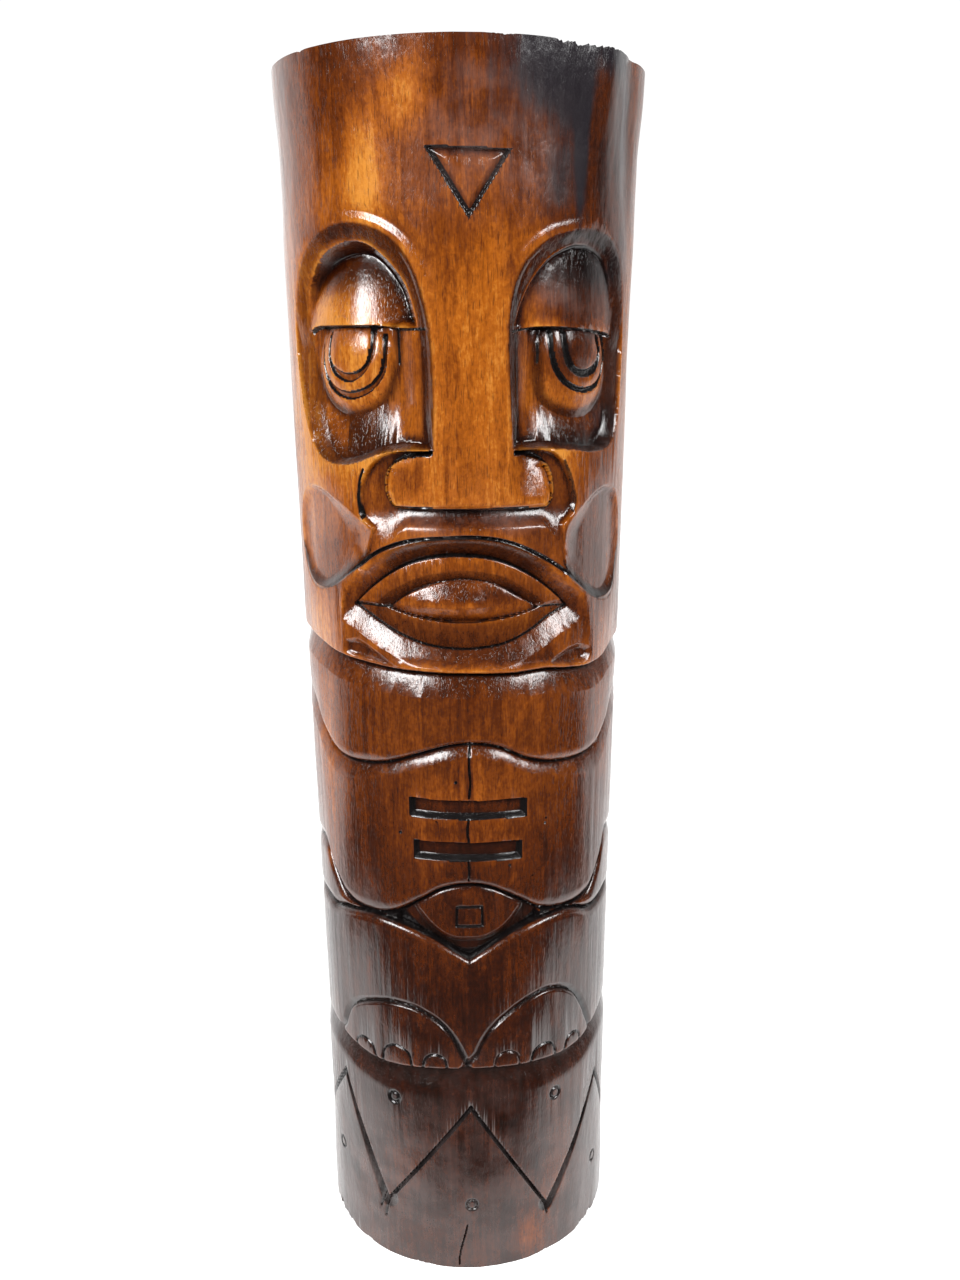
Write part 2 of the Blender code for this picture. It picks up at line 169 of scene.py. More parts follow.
class Cut:
    # the depth, the black stain and the painted shade at a set of points, while the carving goes on

    def __init__(self, angle, z):
        self.angle = angle
        self.z = z
        self.u = angle * perDegree
        self.depth = np.zeros(angle.shape)
        self.stain = np.zeros(angle.shape)
        self.shade = np.zeros(angle.shape)

    def lower(self, depth):
        self.depth = np.maximum(self.depth, depth)

    def mark(self, amount):
        self.stain = np.maximum(self.stain, np.clip(amount, 0, 1))

    def paintShade(self, amount):
        # painted shade: darkens the wood's colour in hollows, along rolls and under the brow, where shade
        # falls
        self.shade = np.maximum(self.shade, np.clip(amount, 0, 1))

    def groove(self, line, wide, deep, where=True, dark=1.0):
        # a V cut along a line, wide and deep in mm
        gap = gapTo(self.u, self.z, line, wide + 1)
        cut = np.clip(1 - gap / wide, 0, 1) * where
        self.depth = self.depth + deep * cut
        self.mark(np.clip(cut * 1.7, 0, 1) * dark)

    def sink(self, outline, deep, wall, edge, floor, lip):
        # a flat-bottomed cut inside an outline, black at its walls, the wood rounded off beside it
        inside = within(self.u, self.z, outline, 8)
        rounded = np.where(inside > 0, 1, shoulder(-inside / 1.8))
        self.depth = self.depth + deep * ease(inside / wall) + lip * rounded
        self.mark((inside > -0.15) * np.maximum(1 - ease((np.abs(inside) - edge * 0.5) / edge), floor))


trunk = {
    "ringDepth": 4.8,       # the steps from one band to the next, mm
    "collarStep": 3.3,
    "bellyStep": 3.9,
    "legStep": 3.4,
    "ledgeDepth": 3.6,
    "backShare": 0.45,      # how much shallower they are behind
    "behind": (70, 30),     # degrees from the front where the back starts, and how many it takes to come in
    "sides": (92, 14),      # the same for where the collar's lower edge dies out
    "chestSides": (30, 30),
    "ringRoll": 3,          # how far from a step its band starts to roll off, mm
    "bandRoll": 6,
    "bellyRoll": 6.5,
    "legRoll": 4.5,
    "chest": (5.5, 4),      # mm of bevel at the belly's top, and more of it at the sides
    "collarRoll": 11.5,     # mm over which the collar's top and the foot band's top slope in
    "ledgeRise": 13,
    "navelFloor": 2.3,      # the navel's lens, its lower slope and the gaps beside it, mm deep
    "navelWall": 2.4,
    "navelGap": 5.2,
    "navelRun": 4.2,
    "grooves": [("chinRing", 0.9, 0.9, 1), ("collarEdge", 0.8, 0.7, 0.9), ("bellyEdge", 0.8, 0.8, 0.9),
                ("waist", 0.9, 0.8, 0.8), ("ledge", 0.6, 0.3, 0.8)],        # line, width, depth, blackness
    "chinRing": [
        (-180, 279), (-120, 282), (-80, 283), (-62.8, 281.1), (-50, 278.3), (-32.8, 276.4), (-16.2, 275.4),
        (0.1, 274.9), (16.4, 274.2), (27.5, 274.5), (38.8, 272.7), (48.3, 271.5), (57.5, 272.6),
        (66.2, 276.4), (90, 279), (130, 279), (180, 279),
    ],
    "collarEdge": [
        (-108, 274), (-94, 266), (-82, 258.5), (-70, 250), (-62.1, 241.1), (-53.9, 235.1), (-43.3, 234.1),
        (-30, 236.4), (-17, 241.6), (-6.3, 245.5), (3.3, 246.3), (11.8, 244.1), (21.5, 238.5), (32.4, 234.8),
        (45.9, 233.7), (56.2, 235.3), (63.8, 242.2), (70, 249.6), (82, 258.5), (94, 266), (108, 273),
    ],
    "bellyEdge": [
        (-180, 186), (-130, 186), (-95, 186.5), (-78, 188.5), (-67.4, 188.3), (-60.6, 178.8), (-52, 170.1),
        (-40.6, 167.9), (-29.4, 170.3), (-18.3, 177.6), (-9.6, 183.6), (-1, 185.6), (7.7, 184.1),
        (18.6, 177.4), (28.5, 170.6), (41, 168), (53.6, 169.7), (61.1, 179.6), (66.8, 190.1), (78, 189.5),
        (95, 187), (130, 186), (180, 186),
    ],
    "waist": [
        (-180, 162), (-120, 162), (-72, 162.8), (-61.2, 162.2), (-53.8, 164.7), (-41.6, 167), (-33.7, 167.3),
        (-23.7, 165.5), (-13.9, 161.6), (-6.4, 156.6), (0.1, 152.1), (0.1, 152.1), (6.6, 156.8),
        (15.2, 162.2), (24, 165.7), (35.1, 167.1), (44.3, 165.7), (53.4, 161.4), (61.6, 160.7), (75, 162),
        (120, 162), (180, 162),
    ],
    "navel": [
        (-25, 171.3), (-25, 171.3), (-16.2, 179.1), (-7.5, 183.9), (1.2, 185.1), (9.9, 182.6), (19.8, 176.2),
        (27.5, 170.5), (27.5, 170.5), (17.6, 162.8), (8.8, 157.8), (0.1, 155.6), (-8.6, 157.8),
        (-17.3, 163.6),
    ],
    "navelFacet": [
        (-17.7, 174.7), (-14.5, 170.2), (-9.9, 165.7), (-5.2, 163.3), (0.1, 162.9), (5.3, 163.3),
        (10.5, 165.7), (14.7, 169.7), (17.8, 174.2),
    ],
    "navelSquare": [(-4.6, 167), (5.1, 166.9), (4.9, 175.6), (-4.3, 175.7), (-4.6, 167)],
    "ledge": [
        (-180, 104), (-120, 104), (-82, 103), (-68.1, 103), (-56.8, 100.3), (-40.9, 97.8), (-28.5, 98.2),
        (-12.2, 99.9), (0, 100.5), (14.3, 99.7), (30.6, 98.4), (41, 97.9), (51.2, 99), (58.8, 101.7),
        (70, 105.5), (85, 106.5), (120, 105), (180, 104),
    ],
}


def carveTrunk(cut):
    # collar, belly, hips, legs and foot band, each rolling off into the cut below and above it
    angle, u, z = cut.angle, cut.u, cut.z
    ring, collar, belly = (heightOf(u, trunk[name]) for name in ("chinRing", "collarEdge", "bellyEdge"))
    waist, ledge = heightOf(u, trunk["waist"]), heightOf(u, trunk["ledge"])
    behind = ramp(np.abs(angle), *trunk["behind"])
    shallow = 1 - trunk["backShare"] * behind
    fade = 1 - ramp(np.abs(angle), *trunk["sides"])
    chest = trunk["chest"][0] + trunk["chest"][1] * ramp(np.abs(angle), *trunk["chestSides"])
    skin = log["skin"]

    face = trunk["ringDepth"] * shallow * shoulder((z - ring) / trunk["ringRoll"])
    collarBand = skin + trunk["collarStep"] * fade * shoulder((z - collar) / trunk["bandRoll"])
    bevel = 0.7 * (1 - np.clip((collar - z) / chest, 0, 1)) + 0.3 * shoulder((collar - z) / 3)
    bellyTop = trunk["collarStep"] * fade * bevel
    bellyFoot = trunk["bellyStep"] * shallow * shoulder((z - belly) / trunk["bellyRoll"])
    hip = skin + trunk["legStep"] * shallow * shoulder(np.minimum(belly - z, z - waist) / trunk["bandRoll"])
    navel = within(u, z, curve(trunk["navel"], True))
    inner = within(u, z, np.vstack((curve(trunk["navelFacet"]), straight([(10, 184), (0, 187), (-10, 184)]))))
    floor = trunk["navelFloor"]
    facet = floor + np.where(inner > 0, 0, trunk["navelWall"] * ease(-inner / trunk["navelRun"]))
    top = floor + 2.2 * shoulder((belly - z) / 5)
    middle = np.where(navel > 0, np.maximum(facet, top), trunk["navelGap"])
    hip = np.where(np.abs(angle) < 27, middle, hip)
    legTop = trunk["legStep"] * shallow * shoulder((waist - z) / trunk["legRoll"])
    legs = skin + np.maximum(legTop, 0.9 * shoulder((z - ledge) / 2))
    footBand = trunk["ledgeDepth"] * shallow * (1 - ease((ledge - z) / trunk["ledgeRise"]))

    depth = np.select([z > ring, z > collar, z > belly, z > waist, z > ledge],
                      [face, collarBand, skin + np.maximum(bellyTop, bellyFoot), hip, legs], footBand)
    collarTop = 0.85 * (1 - np.clip((ring - z) / trunk["collarRoll"], 0, 1)) + 0.15 * shoulder((ring - z) / 3)
    cut.depth = np.where(z < ring, np.maximum(depth, trunk["ringDepth"] * shallow * collarTop), depth)
    cut.depth = np.where(z > ring, np.maximum(cut.depth, 0.25), cut.depth)

    for line, wide, deep, tone in trunk["grooves"]:
        reach = np.where(np.abs(angle) < 104, 1.0, 0.0) if line == "collarEdge" else 1.0
        cut.groove(curve(trunk[line]), wide, deep, where=reach, dark=tone)
    gaps = (z < belly) & (z > waist) & (np.abs(angle) < 34)
    cut.mark(gaps * ramp(-navel, 0.2, 0.8) * upTo(np.abs(angle), 34, 4))
    cut.mark(gaps * (navel > 0) * (1 - ease(navel / 0.7)) * 0.8)
    cut.groove(straight(trunk["navelSquare"]), 0.8, 0.8, dark=0.9)


belly = {
    "slots": [(-20.7, 21, 219, 8.2), (-19.6, 19.4, 200.9, 8.2)],   # left and right end, middle height, height
    "fall": 0.03,           # drop from left to right, mm per degree
    "depth": 2.3,
    "wallTop": 0.5,         # how far the slots' walls slope in, mm
    "wallFoot": 2.2,
    "wallEnd": 1.9,
    "holeDepth": 1.2,
    "seams": [
        [(1, 247), (0.5, 238), (0.9, 231), (0.4, 224)],
        [(0.2, 214.8), (-0.2, 210), (0.2, 205.2)],
        [(0, 196.6), (0.3, 192), (0.1, 188)],
    ],
    "borerHoles": [
        (-4, 231, 0.7), (-24.3, 207.8, 0.75), (28.4, 209.6, 0.5), (28.9, 211.8, 0.4), (14.8, 193.8, 0.6),
        (23.5, 187.6, 0.35), (-11, 214, 0.3),
    ],
}


def carveBelly(cut):
    for left, right, middle, tall in belly["slots"]:
        rise = cut.z - middle + belly["fall"] * cut.angle       # height over the slot's middle line
        below, above = tall / 2 + rise, tall / 2 - rise
        fromLeft, fromRight = (cut.angle - left) * perDegree, (right - cut.angle) * perDegree
        ends = np.minimum(fromLeft, fromRight)
        inside = np.minimum(np.minimum(below, above), ends) > 0
        floor = np.minimum(below / belly["wallFoot"], above / belly["wallTop"])
        floor = np.minimum(floor, ends / belly["wallEnd"])
        cut.depth = cut.depth + belly["depth"] * np.clip(floor, 0, 1) * inside
        cut.mark(inside * (1 - ramp(ends, belly["wallEnd"] * 0.8, 0.9)))
        cut.mark(inside * (1 - ramp(above, 0.1, 0.6)) * 0.8)
        cut.mark(inside * (1 - ramp(below, belly["wallFoot"] * 0.9, 0.6)) * 0.85)
    for seam in belly["seams"]:
        cut.groove(curve(seam), 0.6, 0.9)
    for holeAngle, height, size in belly["borerHoles"]:
        gap = np.hypot(cut.u - holeAngle * perDegree, cut.z - height)
        cut.depth = cut.depth + belly["holeDepth"] * (1 - ease(gap / size))
        cut.mark(1 - ramp(gap, size * 0.6, 0.5))


feet = {
    "step": 1.6,            # how far the legs are cut back round the feet, mm
    "outlines": [
        [(-58.6, 96.5), (-57.1, 106.5), (-53.5, 115.4), (-47.3, 121.3), (-38.6, 125.7), (-30.5, 128),
         (-21.3, 127.5), (-13.2, 122.9), (-8.1, 117), (-4.3, 109), (-1, 99.4), (-1, 96.4)],
        [(1, 96.4), (3.3, 107.5), (6.3, 115), (10.7, 121.3), (18.3, 127.5), (25.4, 131), (31.5, 131.8),
         (38.7, 129.3), (44.9, 124.2), (49.9, 116.2), (53.9, 107.3), (56.3, 100.9), (56.8, 96.4)],
    ],
    "toes": [
        [(-50, 98), (-49.4, 103), (-45, 105.4), (-40.9, 103.6), (-39, 98.1)],
        [(-35.7, 97.1), (-34.7, 104.2), (-30.6, 107.6), (-27, 107.4), (-23.8, 104.8), (-22.9, 99.2)],
        [(-18.5, 98.3), (-17.3, 104.3), (-13.7, 106.9), (-9.8, 105.1), (-8.8, 99.3)],
        [(9.2, 98.3), (10.2, 105.1), (14.3, 107.4), (18.4, 104.8), (19.2, 99.2)],
        [(23.7, 97.2), (25.1, 104.2), (29.6, 106.5), (33.9, 104.4), (35.9, 97.1)],
        [(39.8, 97), (41.2, 103), (44.6, 105), (48.2, 103.4), (49.4, 98)],
    ],
    "toeTones": [1, 1, 0.9, 0.3, 1, 1],
}


def carveFeet(cut):
    # the legs are cut back round each foot, with toes scribed along the front of it
    onLegs = cut.z > heightOf(cut.u, trunk["ledge"])
    for outline in feet["outlines"]:
        foot = within(cut.u, cut.z, curve(outline, True), 10)
        middle = (outline[0][0] + outline[-1][0]) / 2
        flank = ramp(cut.angle - middle, 6, 18)           # the cut is wider on the right of each foot
        bevel = np.clip(1 + foot / 3.0, 0, 1)
        shaped = np.where(foot < 0, bevel, shoulder(foot / 1.8))
        cut.depth = cut.depth + feet["step"] * shaped * onLegs
        cut.mark(onLegs * (foot < 0) * (1 - ease((-foot - 0.1 - 1.5 * flank) / 0.5)))
    for toe, tone in zip(feet["toes"], feet["toeTones"]):
        cut.groove(curve(toe), 0.8, 0.8, where=onLegs, dark=tone)


zigzag = {
    "depth": 2.0,
    "wall": 0.6,            # mm that the upright wall slopes
    "ringDepth": 0.9,
    "line": [
        (-180, 81), (-152, 28), (-125, 81), (-97, 30), (-58.6, 82.5), (-34.6, 29), (0, 82.5), (31.1, 25.3),
        (62.8, 75.7), (89, 28), (119, 80), (150, 28), (180, 81),
    ],
    "bevels": [2.4, 2.4, 2.4, 2.4, 4.6, 1.7, 1.5, 4, 2.6, 2.4, 2.4, 2.4],     # one for each stroke, mm
    "overCuts": [[(-35, 28.9), (-36.2, 19.1)], [(-37, 30.3), (-38.5, 23.3)], [(31.5, 25.4), (31.3, 20.2)]],
    "rings": [
        (-30.5, 82.3, 2.5, 0.95), (35, 80, 2.5, 0.8), (0, 33, 2.4, 0.7), (-64.5, 39.5, 2.5, 0.7),
        (62, 29.5, 2.4, 0.7),
    ],
    "crack": [(-1.8, 22.2), (-3, 16.2), (-4.2, 10.7), (-5, 5.7), (-5.1, 1.7)],
}


def carveZigzag(cut):
    # a row of pointed teeth: an upright wall above, a long bevel below
    onBand = cut.z < heightOf(cut.u, trunk["ledge"]) - 6
    over = cut.z > heightOf(cut.u, zigzag["line"], smooth=False)
    line = straight(zigzag["line"])
    best = np.zeros(cut.u.shape)
    for start, end, bevel in zip(line[:-1], line[1:], zigzag["bevels"]):
        gap = gapTo(cut.u, cut.z, np.array((start, end)), 6)
        low = end if start[1] > end[1] else start
        toFoot = np.clip(1 - np.hypot(cut.u - low[0], cut.z - low[1]) / 62, 0, 1)
        widen = np.where(bevel > 3, 0.45 + 0.75 * toFoot, 1)
        best = np.maximum(best, np.clip(1 - gap / np.where(over, zigzag["wall"], bevel * widen), 0, 1))
    cut.depth = cut.depth + zigzag["depth"] * best * onBand
    cut.mark(np.clip(best * 3.2, 0, 1) * onBand)
    for stroke in zigzag["overCuts"]:
        cut.groove(straight(stroke), 0.9, 0.9, dark=0.8)
    for ringAngle, height, size, wide in zigzag["rings"]:
        gap = np.abs(np.hypot(cut.u - ringAngle * perDegree, cut.z - height) - size)
        cut.depth = cut.depth + zigzag["ringDepth"] * np.clip(1 - gap / wide, 0, 1)
        cut.mark(1 - ramp(gap, wide * 0.95, 0.6))
    cut.groove(curve(zigzag["crack"]), 0.5, 1.4, dark=0.8)


leftEye = {
    "side": -1,
    "nose": -9.5,
    "socket": [
        (-9.4, 361), (-9.4, 361), (-9, 378), (-9.4, 400), (-12, 417), (-17, 430.5), (-25, 438.3),
        (-36, 441.6), (-47, 439.3), (-57, 432.5), (-64, 419.5), (-67, 403), (-65.2, 386), (-61, 369),
        (-54, 358), (-45, 354.6), (-36, 355.8), (-27, 359.6), (-18, 361),
    ],
    "hollow": [
        (-59.6, 404), (-59.6, 404), (-60.6, 412.1), (-58, 421.7), (-51.6, 429.8), (-42.9, 434.3),
        (-33, 434.9), (-24.9, 429.7), (-18, 420.1), (-14.8, 409), (-14.4, 404), (-14.4, 404),
    ],
    "lid": [(-60.2, 403.2), (-56.5, 405), (-48.7, 405.3), (-29.9, 405.3), (-21.3, 404.3), (-11.6, 404.2)],
    "hood": (-44.0, 404.0, 24.0, 31.0),     # middle, height, half width, half height of the upper lid's bulge
    "lidSlope": 0.17,
    "lidTop": 7.0,
    "lidBend": 9.5,         # mm from the bulge's middle to where it turns in towards the nose
    "ball": (-43.5, 391.0, 23.4, 23.4),
    "ballFall": 13.0,
    "scoop": 5.3,
    "foot": [
        (-22.6, 404.5), (-22.4, 392), (-27.2, 379.4), (-34, 374.2), (-41.6, 372.9), (-50, 375.5),
        (-55.3, 380.4), (-59, 388),
    ],
    "pupil": [
        (-50.2, 403), (-50.5, 395.9), (-49.3, 391.3), (-45.7, 386.9), (-40.1, 385.3), (-34.8, 388.2),
        (-31.6, 393.4), (-30.6, 397.9), (-30.8, 404.6), (-30.8, 404.6), (-32.5, 404.8), (-32.5, 404.8),
        (-32.2, 400), (-32.6, 395.4), (-34.1, 391.6), (-37.5, 389.1), (-42.6, 388.7), (-47.4, 391.4),
        (-49.5, 395.9), (-49.6, 403), (-49.6, 403),
    ],
    "iris": [
        (-55.2, 398.9), (-55.2, 393.8), (-54.7, 390.3), (-52.6, 385.3), (-48, 380.8), (-40.9, 378.9),
        (-33.8, 381.2), (-29.1, 385.7), (-27.1, 390.3), (-26.7, 395.9), (-27, 402.6), (-27, 402.6),
        (-28.2, 402.6), (-28.2, 402.6), (-28, 396.9), (-28.4, 391), (-30.4, 386.8), (-34.5, 383.5),
        (-40.9, 381.8), (-47, 383.1), (-51.8, 387.7), (-54.2, 393.8), (-54.7, 398.9), (-54.7, 398.9),
    ],
    "ringEdge": 0.5,        # how far the black spreads round them, mm
    "floorTone": 0.12,      # how black the floors of the two rings are
    "footShade": 0.75,       # painted shade along the line round the eyeball's foot
    "rimShade": 0.88,        # painted shade on the rim, and how much of that it loses towards the temple
    "rimFade": 0.40,
    "dip": 0.75,            # how far the brow is dished above the rim, mm
    "caveShade": 0.90,       # painted shade in the hollow under the brow
}
rightEye = {
    "side": 1,
    "nose": 14.5,
    "socket": [
        (15.3, 360.8), (15.3, 360.8), (14.4, 374), (13.7, 395), (14.2, 412), (18, 426), (26, 434.8),
        (36, 438.4), (47, 438.9), (57, 434.5), (63.5, 424), (66.2, 408), (65.8, 386), (64, 369), (58, 360),
        (48, 358), (38, 359.6), (26, 360.8),
    ],
    "hollow": [
        (16.6, 403.5), (16.6, 403.5), (17.9, 411.1), (21.7, 420.1), (28.3, 428.7), (37.6, 433.5),
        (46.7, 433.2), (54.9, 428.3), (59.6, 418.1), (61, 408), (60.3, 401.5), (60.3, 401.5),
    ],
    "lid": [(14.8, 402.9), (21.4, 404.1), (30.1, 404.4), (43.5, 403.6), (56, 402.2), (60.9, 401.2)],
    "hood": (45.0, 402.5, 22.0, 31.0),
    "lidSlope": 0.03,
    "lidTop": 2.2,
    "lidBend": 24.0,
    "ball": (44.5, 390.5, 22.4, 23.0),
    "ballFall": 7.5,
    "scoop": 4.2,
    "foot": [
        (26.6, 402), (26, 392), (27.6, 380.6), (34, 374.6), (43.5, 372.8), (52, 374.5), (59, 380), (62, 388),
    ],
    "pupil": [
        (34.6, 403.4), (34.6, 403.4), (35.1, 395.9), (36.6, 390.8), (40.2, 387.7), (45, 386.3),
        (50.1, 387.4), (53.6, 390.8), (55, 395.3), (54.6, 399.3), (53.2, 402), (52.3, 399.9), (53.2, 395.9),
        (52.3, 392.5), (48.9, 389.8), (44.3, 389), (39.8, 390.8), (37.5, 395.7), (36.6, 403.2),
        (36.6, 403.2),
    ],
    "iris": [
        (29.9, 403.4), (29.9, 403.4), (30.3, 394.9), (31.8, 388.8), (35.4, 384.2), (40.8, 381.3),
        (47, 380.6), (53.2, 382.2), (57.2, 386.5), (59.3, 391.8), (59.2, 396.9), (58.1, 402.2),
        (58.1, 402.2), (57, 402.2), (57, 402.2), (57.8, 396.9), (58, 392.4), (56.4, 388.3), (53.2, 384.4),
        (48.2, 382.5), (42.6, 382.7), (37.2, 385.2), (33.6, 389.6), (32, 394.9), (31.5, 403.4),
        (31.5, 403.4),
    ],
    "ringEdge": 1.1,
    "floorTone": 1.0,
    "footShade": 0.8,
    "rimShade": 0.92,
    "rimFade": 0.05,
    "dip": 0.45,
    "caveShade": 0.97,
}
eyeDepths = {
    "edge": 0.3,            # mm cut away all round the socket
    "edgeRoll": 1.9,
    "rim": 3.3,
    "rimWidth": (4.2, 3.2), # mm at the nose, and more of it at the temple
    "rimFades": (30, 34),   # mm from the nose where the rim's painted shade starts to fade, and over how much
    "lowRim": 2.4,          # mm at the foot of the socket
    "lowRimTop": (360, 18), # height where it grows back to the full width, and over how much
    "lowRimSide": (42, 12), # the same in mm from the nose
    "browFrom": (414, 18),  # height where the dished brow starts, and mm it takes to come in
    "browTo": (48, 22),     # mm from the nose where it ends, and that it takes to go
    "browDish": 4.2,        # half its width, mm
    "lid": 2.7,
    "lidNose": 0.36,        # slope of the upper lid past the bend, towards the nose
    "lidBendWidth": 2.2,
    "lidTemple": 1.2,       # mm it falls away towards the temple and the brow
    "wallSteep": 1.9,       # the wall under the brow, mm in for each mm
    "caveFrom": (412, 12),  # height where its shade starts, and mm it takes to come in
    "ball": 3.2,
    "scoopFrom": 357.5,     # height where the hollow under the eyeball starts to deepen
    "scoopRise": 20,
    "ringDepth": 1.1,       # the pupil and iris cuts, mm
    "ringWall": 0.5,
    "ringLip": 0.4,
    "slip": 0.22,           # where the knife slipped along the rim, mm
    "burr": 0.4,
}


def carveEye(cut, eye):
    # a socket with a chamfered rim, a bulging upper lid, and an eyeball above a scooped hollow
    u, z, size = cut.u, cut.z, eyeDepths
    socket = within(u, z, curve(eye["socket"], True))
    hollow = within(u, z, curve(eye["hollow"], True), 30)
    fromNose = eye["side"] * (u - eye["nose"] * perDegree)

    above = ramp(z, *size["browFrom"]) * upTo(fromNose, *size["browTo"])
    dish = eye["dip"] * hump(-socket, size["browDish"], size["browDish"]) * above
    cut.lower(np.where(socket < 0, dish, 0))
    edge = (1.0 - 0.45 * ease(fromNose / 12)) * shoulder(-socket / size["edgeRoll"])
    cut.lower(np.where(socket < 0, edge, 0))

    rimWide = size["rimWidth"][0] + size["rimWidth"][1] * ease(fromNose / 60)
    across = np.clip(socket / np.maximum(socket - hollow, 0.1), 0, 1)
    rim = size["edge"] + size["rim"] * across
    middle, height, halfWidth, halfHeight = eye["hood"]
    aside = (u - middle * perDegree) * -eye["side"]                 # towards the nose
    up = np.clip((z - height) / halfHeight, 0, 0.99)
    bend = size["lidBendWidth"] * np.logaddexp(0, (aside - eye["lidBend"]) / size["lidBendWidth"])
    fall = size["lidNose"] * bend
    fall = fall + size["lidTemple"] * np.clip(-aside / (halfWidth * perDegree), 0, 1.15) ** 2
    hood = size["lid"] + fall + eye["lidSlope"] * up * halfHeight + eye["lidTop"] * (1 - np.sqrt(1 - up ** 2))
    cave = lesser(rim + size["wallSteep"] * hollow, np.maximum(hood, 2.0), 1.4)
    upper = np.where(hollow > 0, cave, rim)

    middle, height, halfWidth, halfHeight = eye["ball"]
    aside, rise = (u - middle * perDegree) / (halfWidth * perDegree), (z - height) / halfHeight
    ball = size["ball"] + eye["ballFall"] * (1 - np.sqrt(np.clip(1 - aside ** 2 - rise ** 2, 0, 1)))
    deep = size["rim"] * (1 - 0.5 * ramp(fromNose, 40, 20))
    lowRim = np.maximum(ramp(z, *size["lowRimTop"]), ramp(fromNose, *size["lowRimSide"]))
    wide = size["lowRim"] + (rimWide - size["lowRim"]) * lowRim
    wall = size["edge"] + deep * np.clip(socket / wide, 0, 1)
    temple = aside * eye["side"]
    trough = np.clip((z - size["scoopFrom"]) / size["scoopRise"], 0, 1)
    trough = trough * (1 - ramp(-temple, 0.87, 0.45)) * (1 - 0.75 * ramp(temple, 0.15, 1.0))
    lower = lesser(wall + eye["scoop"] * trough, np.maximum(ball, wall), 0.5)
    fromLid = z - heightOf(u, eye["lid"])
    inRim = ease((socket - rimWide) / 1.5)
    aboveLid = ease(fromLid / 14 + 0.5) * (1 - inRim) + ease(fromLid / 0.7 + 0.5) * inRim
    blend = np.maximum(lower + (upper - lower) * aboveLid, 0.55)
    cut.depth = np.where(socket > 0, np.maximum(cut.depth, blend), cut.depth)

    for name in ("pupil", "iris"):
        cut.sink(curve(eye[name], True, 4), size["ringDepth"], size["ringWall"],
                 eye["ringEdge"], eye["floorTone"], size["ringLip"])
    # painted shade round the eyeball's foot
    cut.paintShade((1 - ease((gapTo(u, z, curve(eye["foot"]), 5) - 0.6) / 2.6)) * eye["footShade"])
    cut.groove(curve(eye["foot"][:2]), 0.6, 0.4)
    slip = hump(socket, 2.2, 0.6) * (fromNose < 12) * (z > 363)
    burr = hump(hollow, 0.1, 0.9) * ramp(z, 406, 4) * upTo(fromNose, 36, 12)
    cut.depth = cut.depth + size["slip"] * slip - size["burr"] * burr
    cut.groove(curve(eye["lid"]), 0.5, 0.7, where=socket > 1.6)
    # painted shade along the socket's foot, on the rim and in the hollow under the brow
    cut.paintShade((socket > 0) * (1 - ramp(socket, 1.6, 2.2)) * 0.85 * (1 - ramp(z, 359, 8)))
    onRim = (socket > 0) * np.where(fromLid > 0, 1 - ease((hollow + 1.5) / 2), 1 - inRim)
    rimShade = eye["rimShade"] - eye["rimFade"] * ramp(fromNose, *size["rimFades"])
    cut.paintShade(onRim * ease((socket + 0.2) / 0.8) * rimShade)
    cut.paintShade((hollow > 0) * ramp(z, *size["caveFrom"]) * eye["caveShade"])


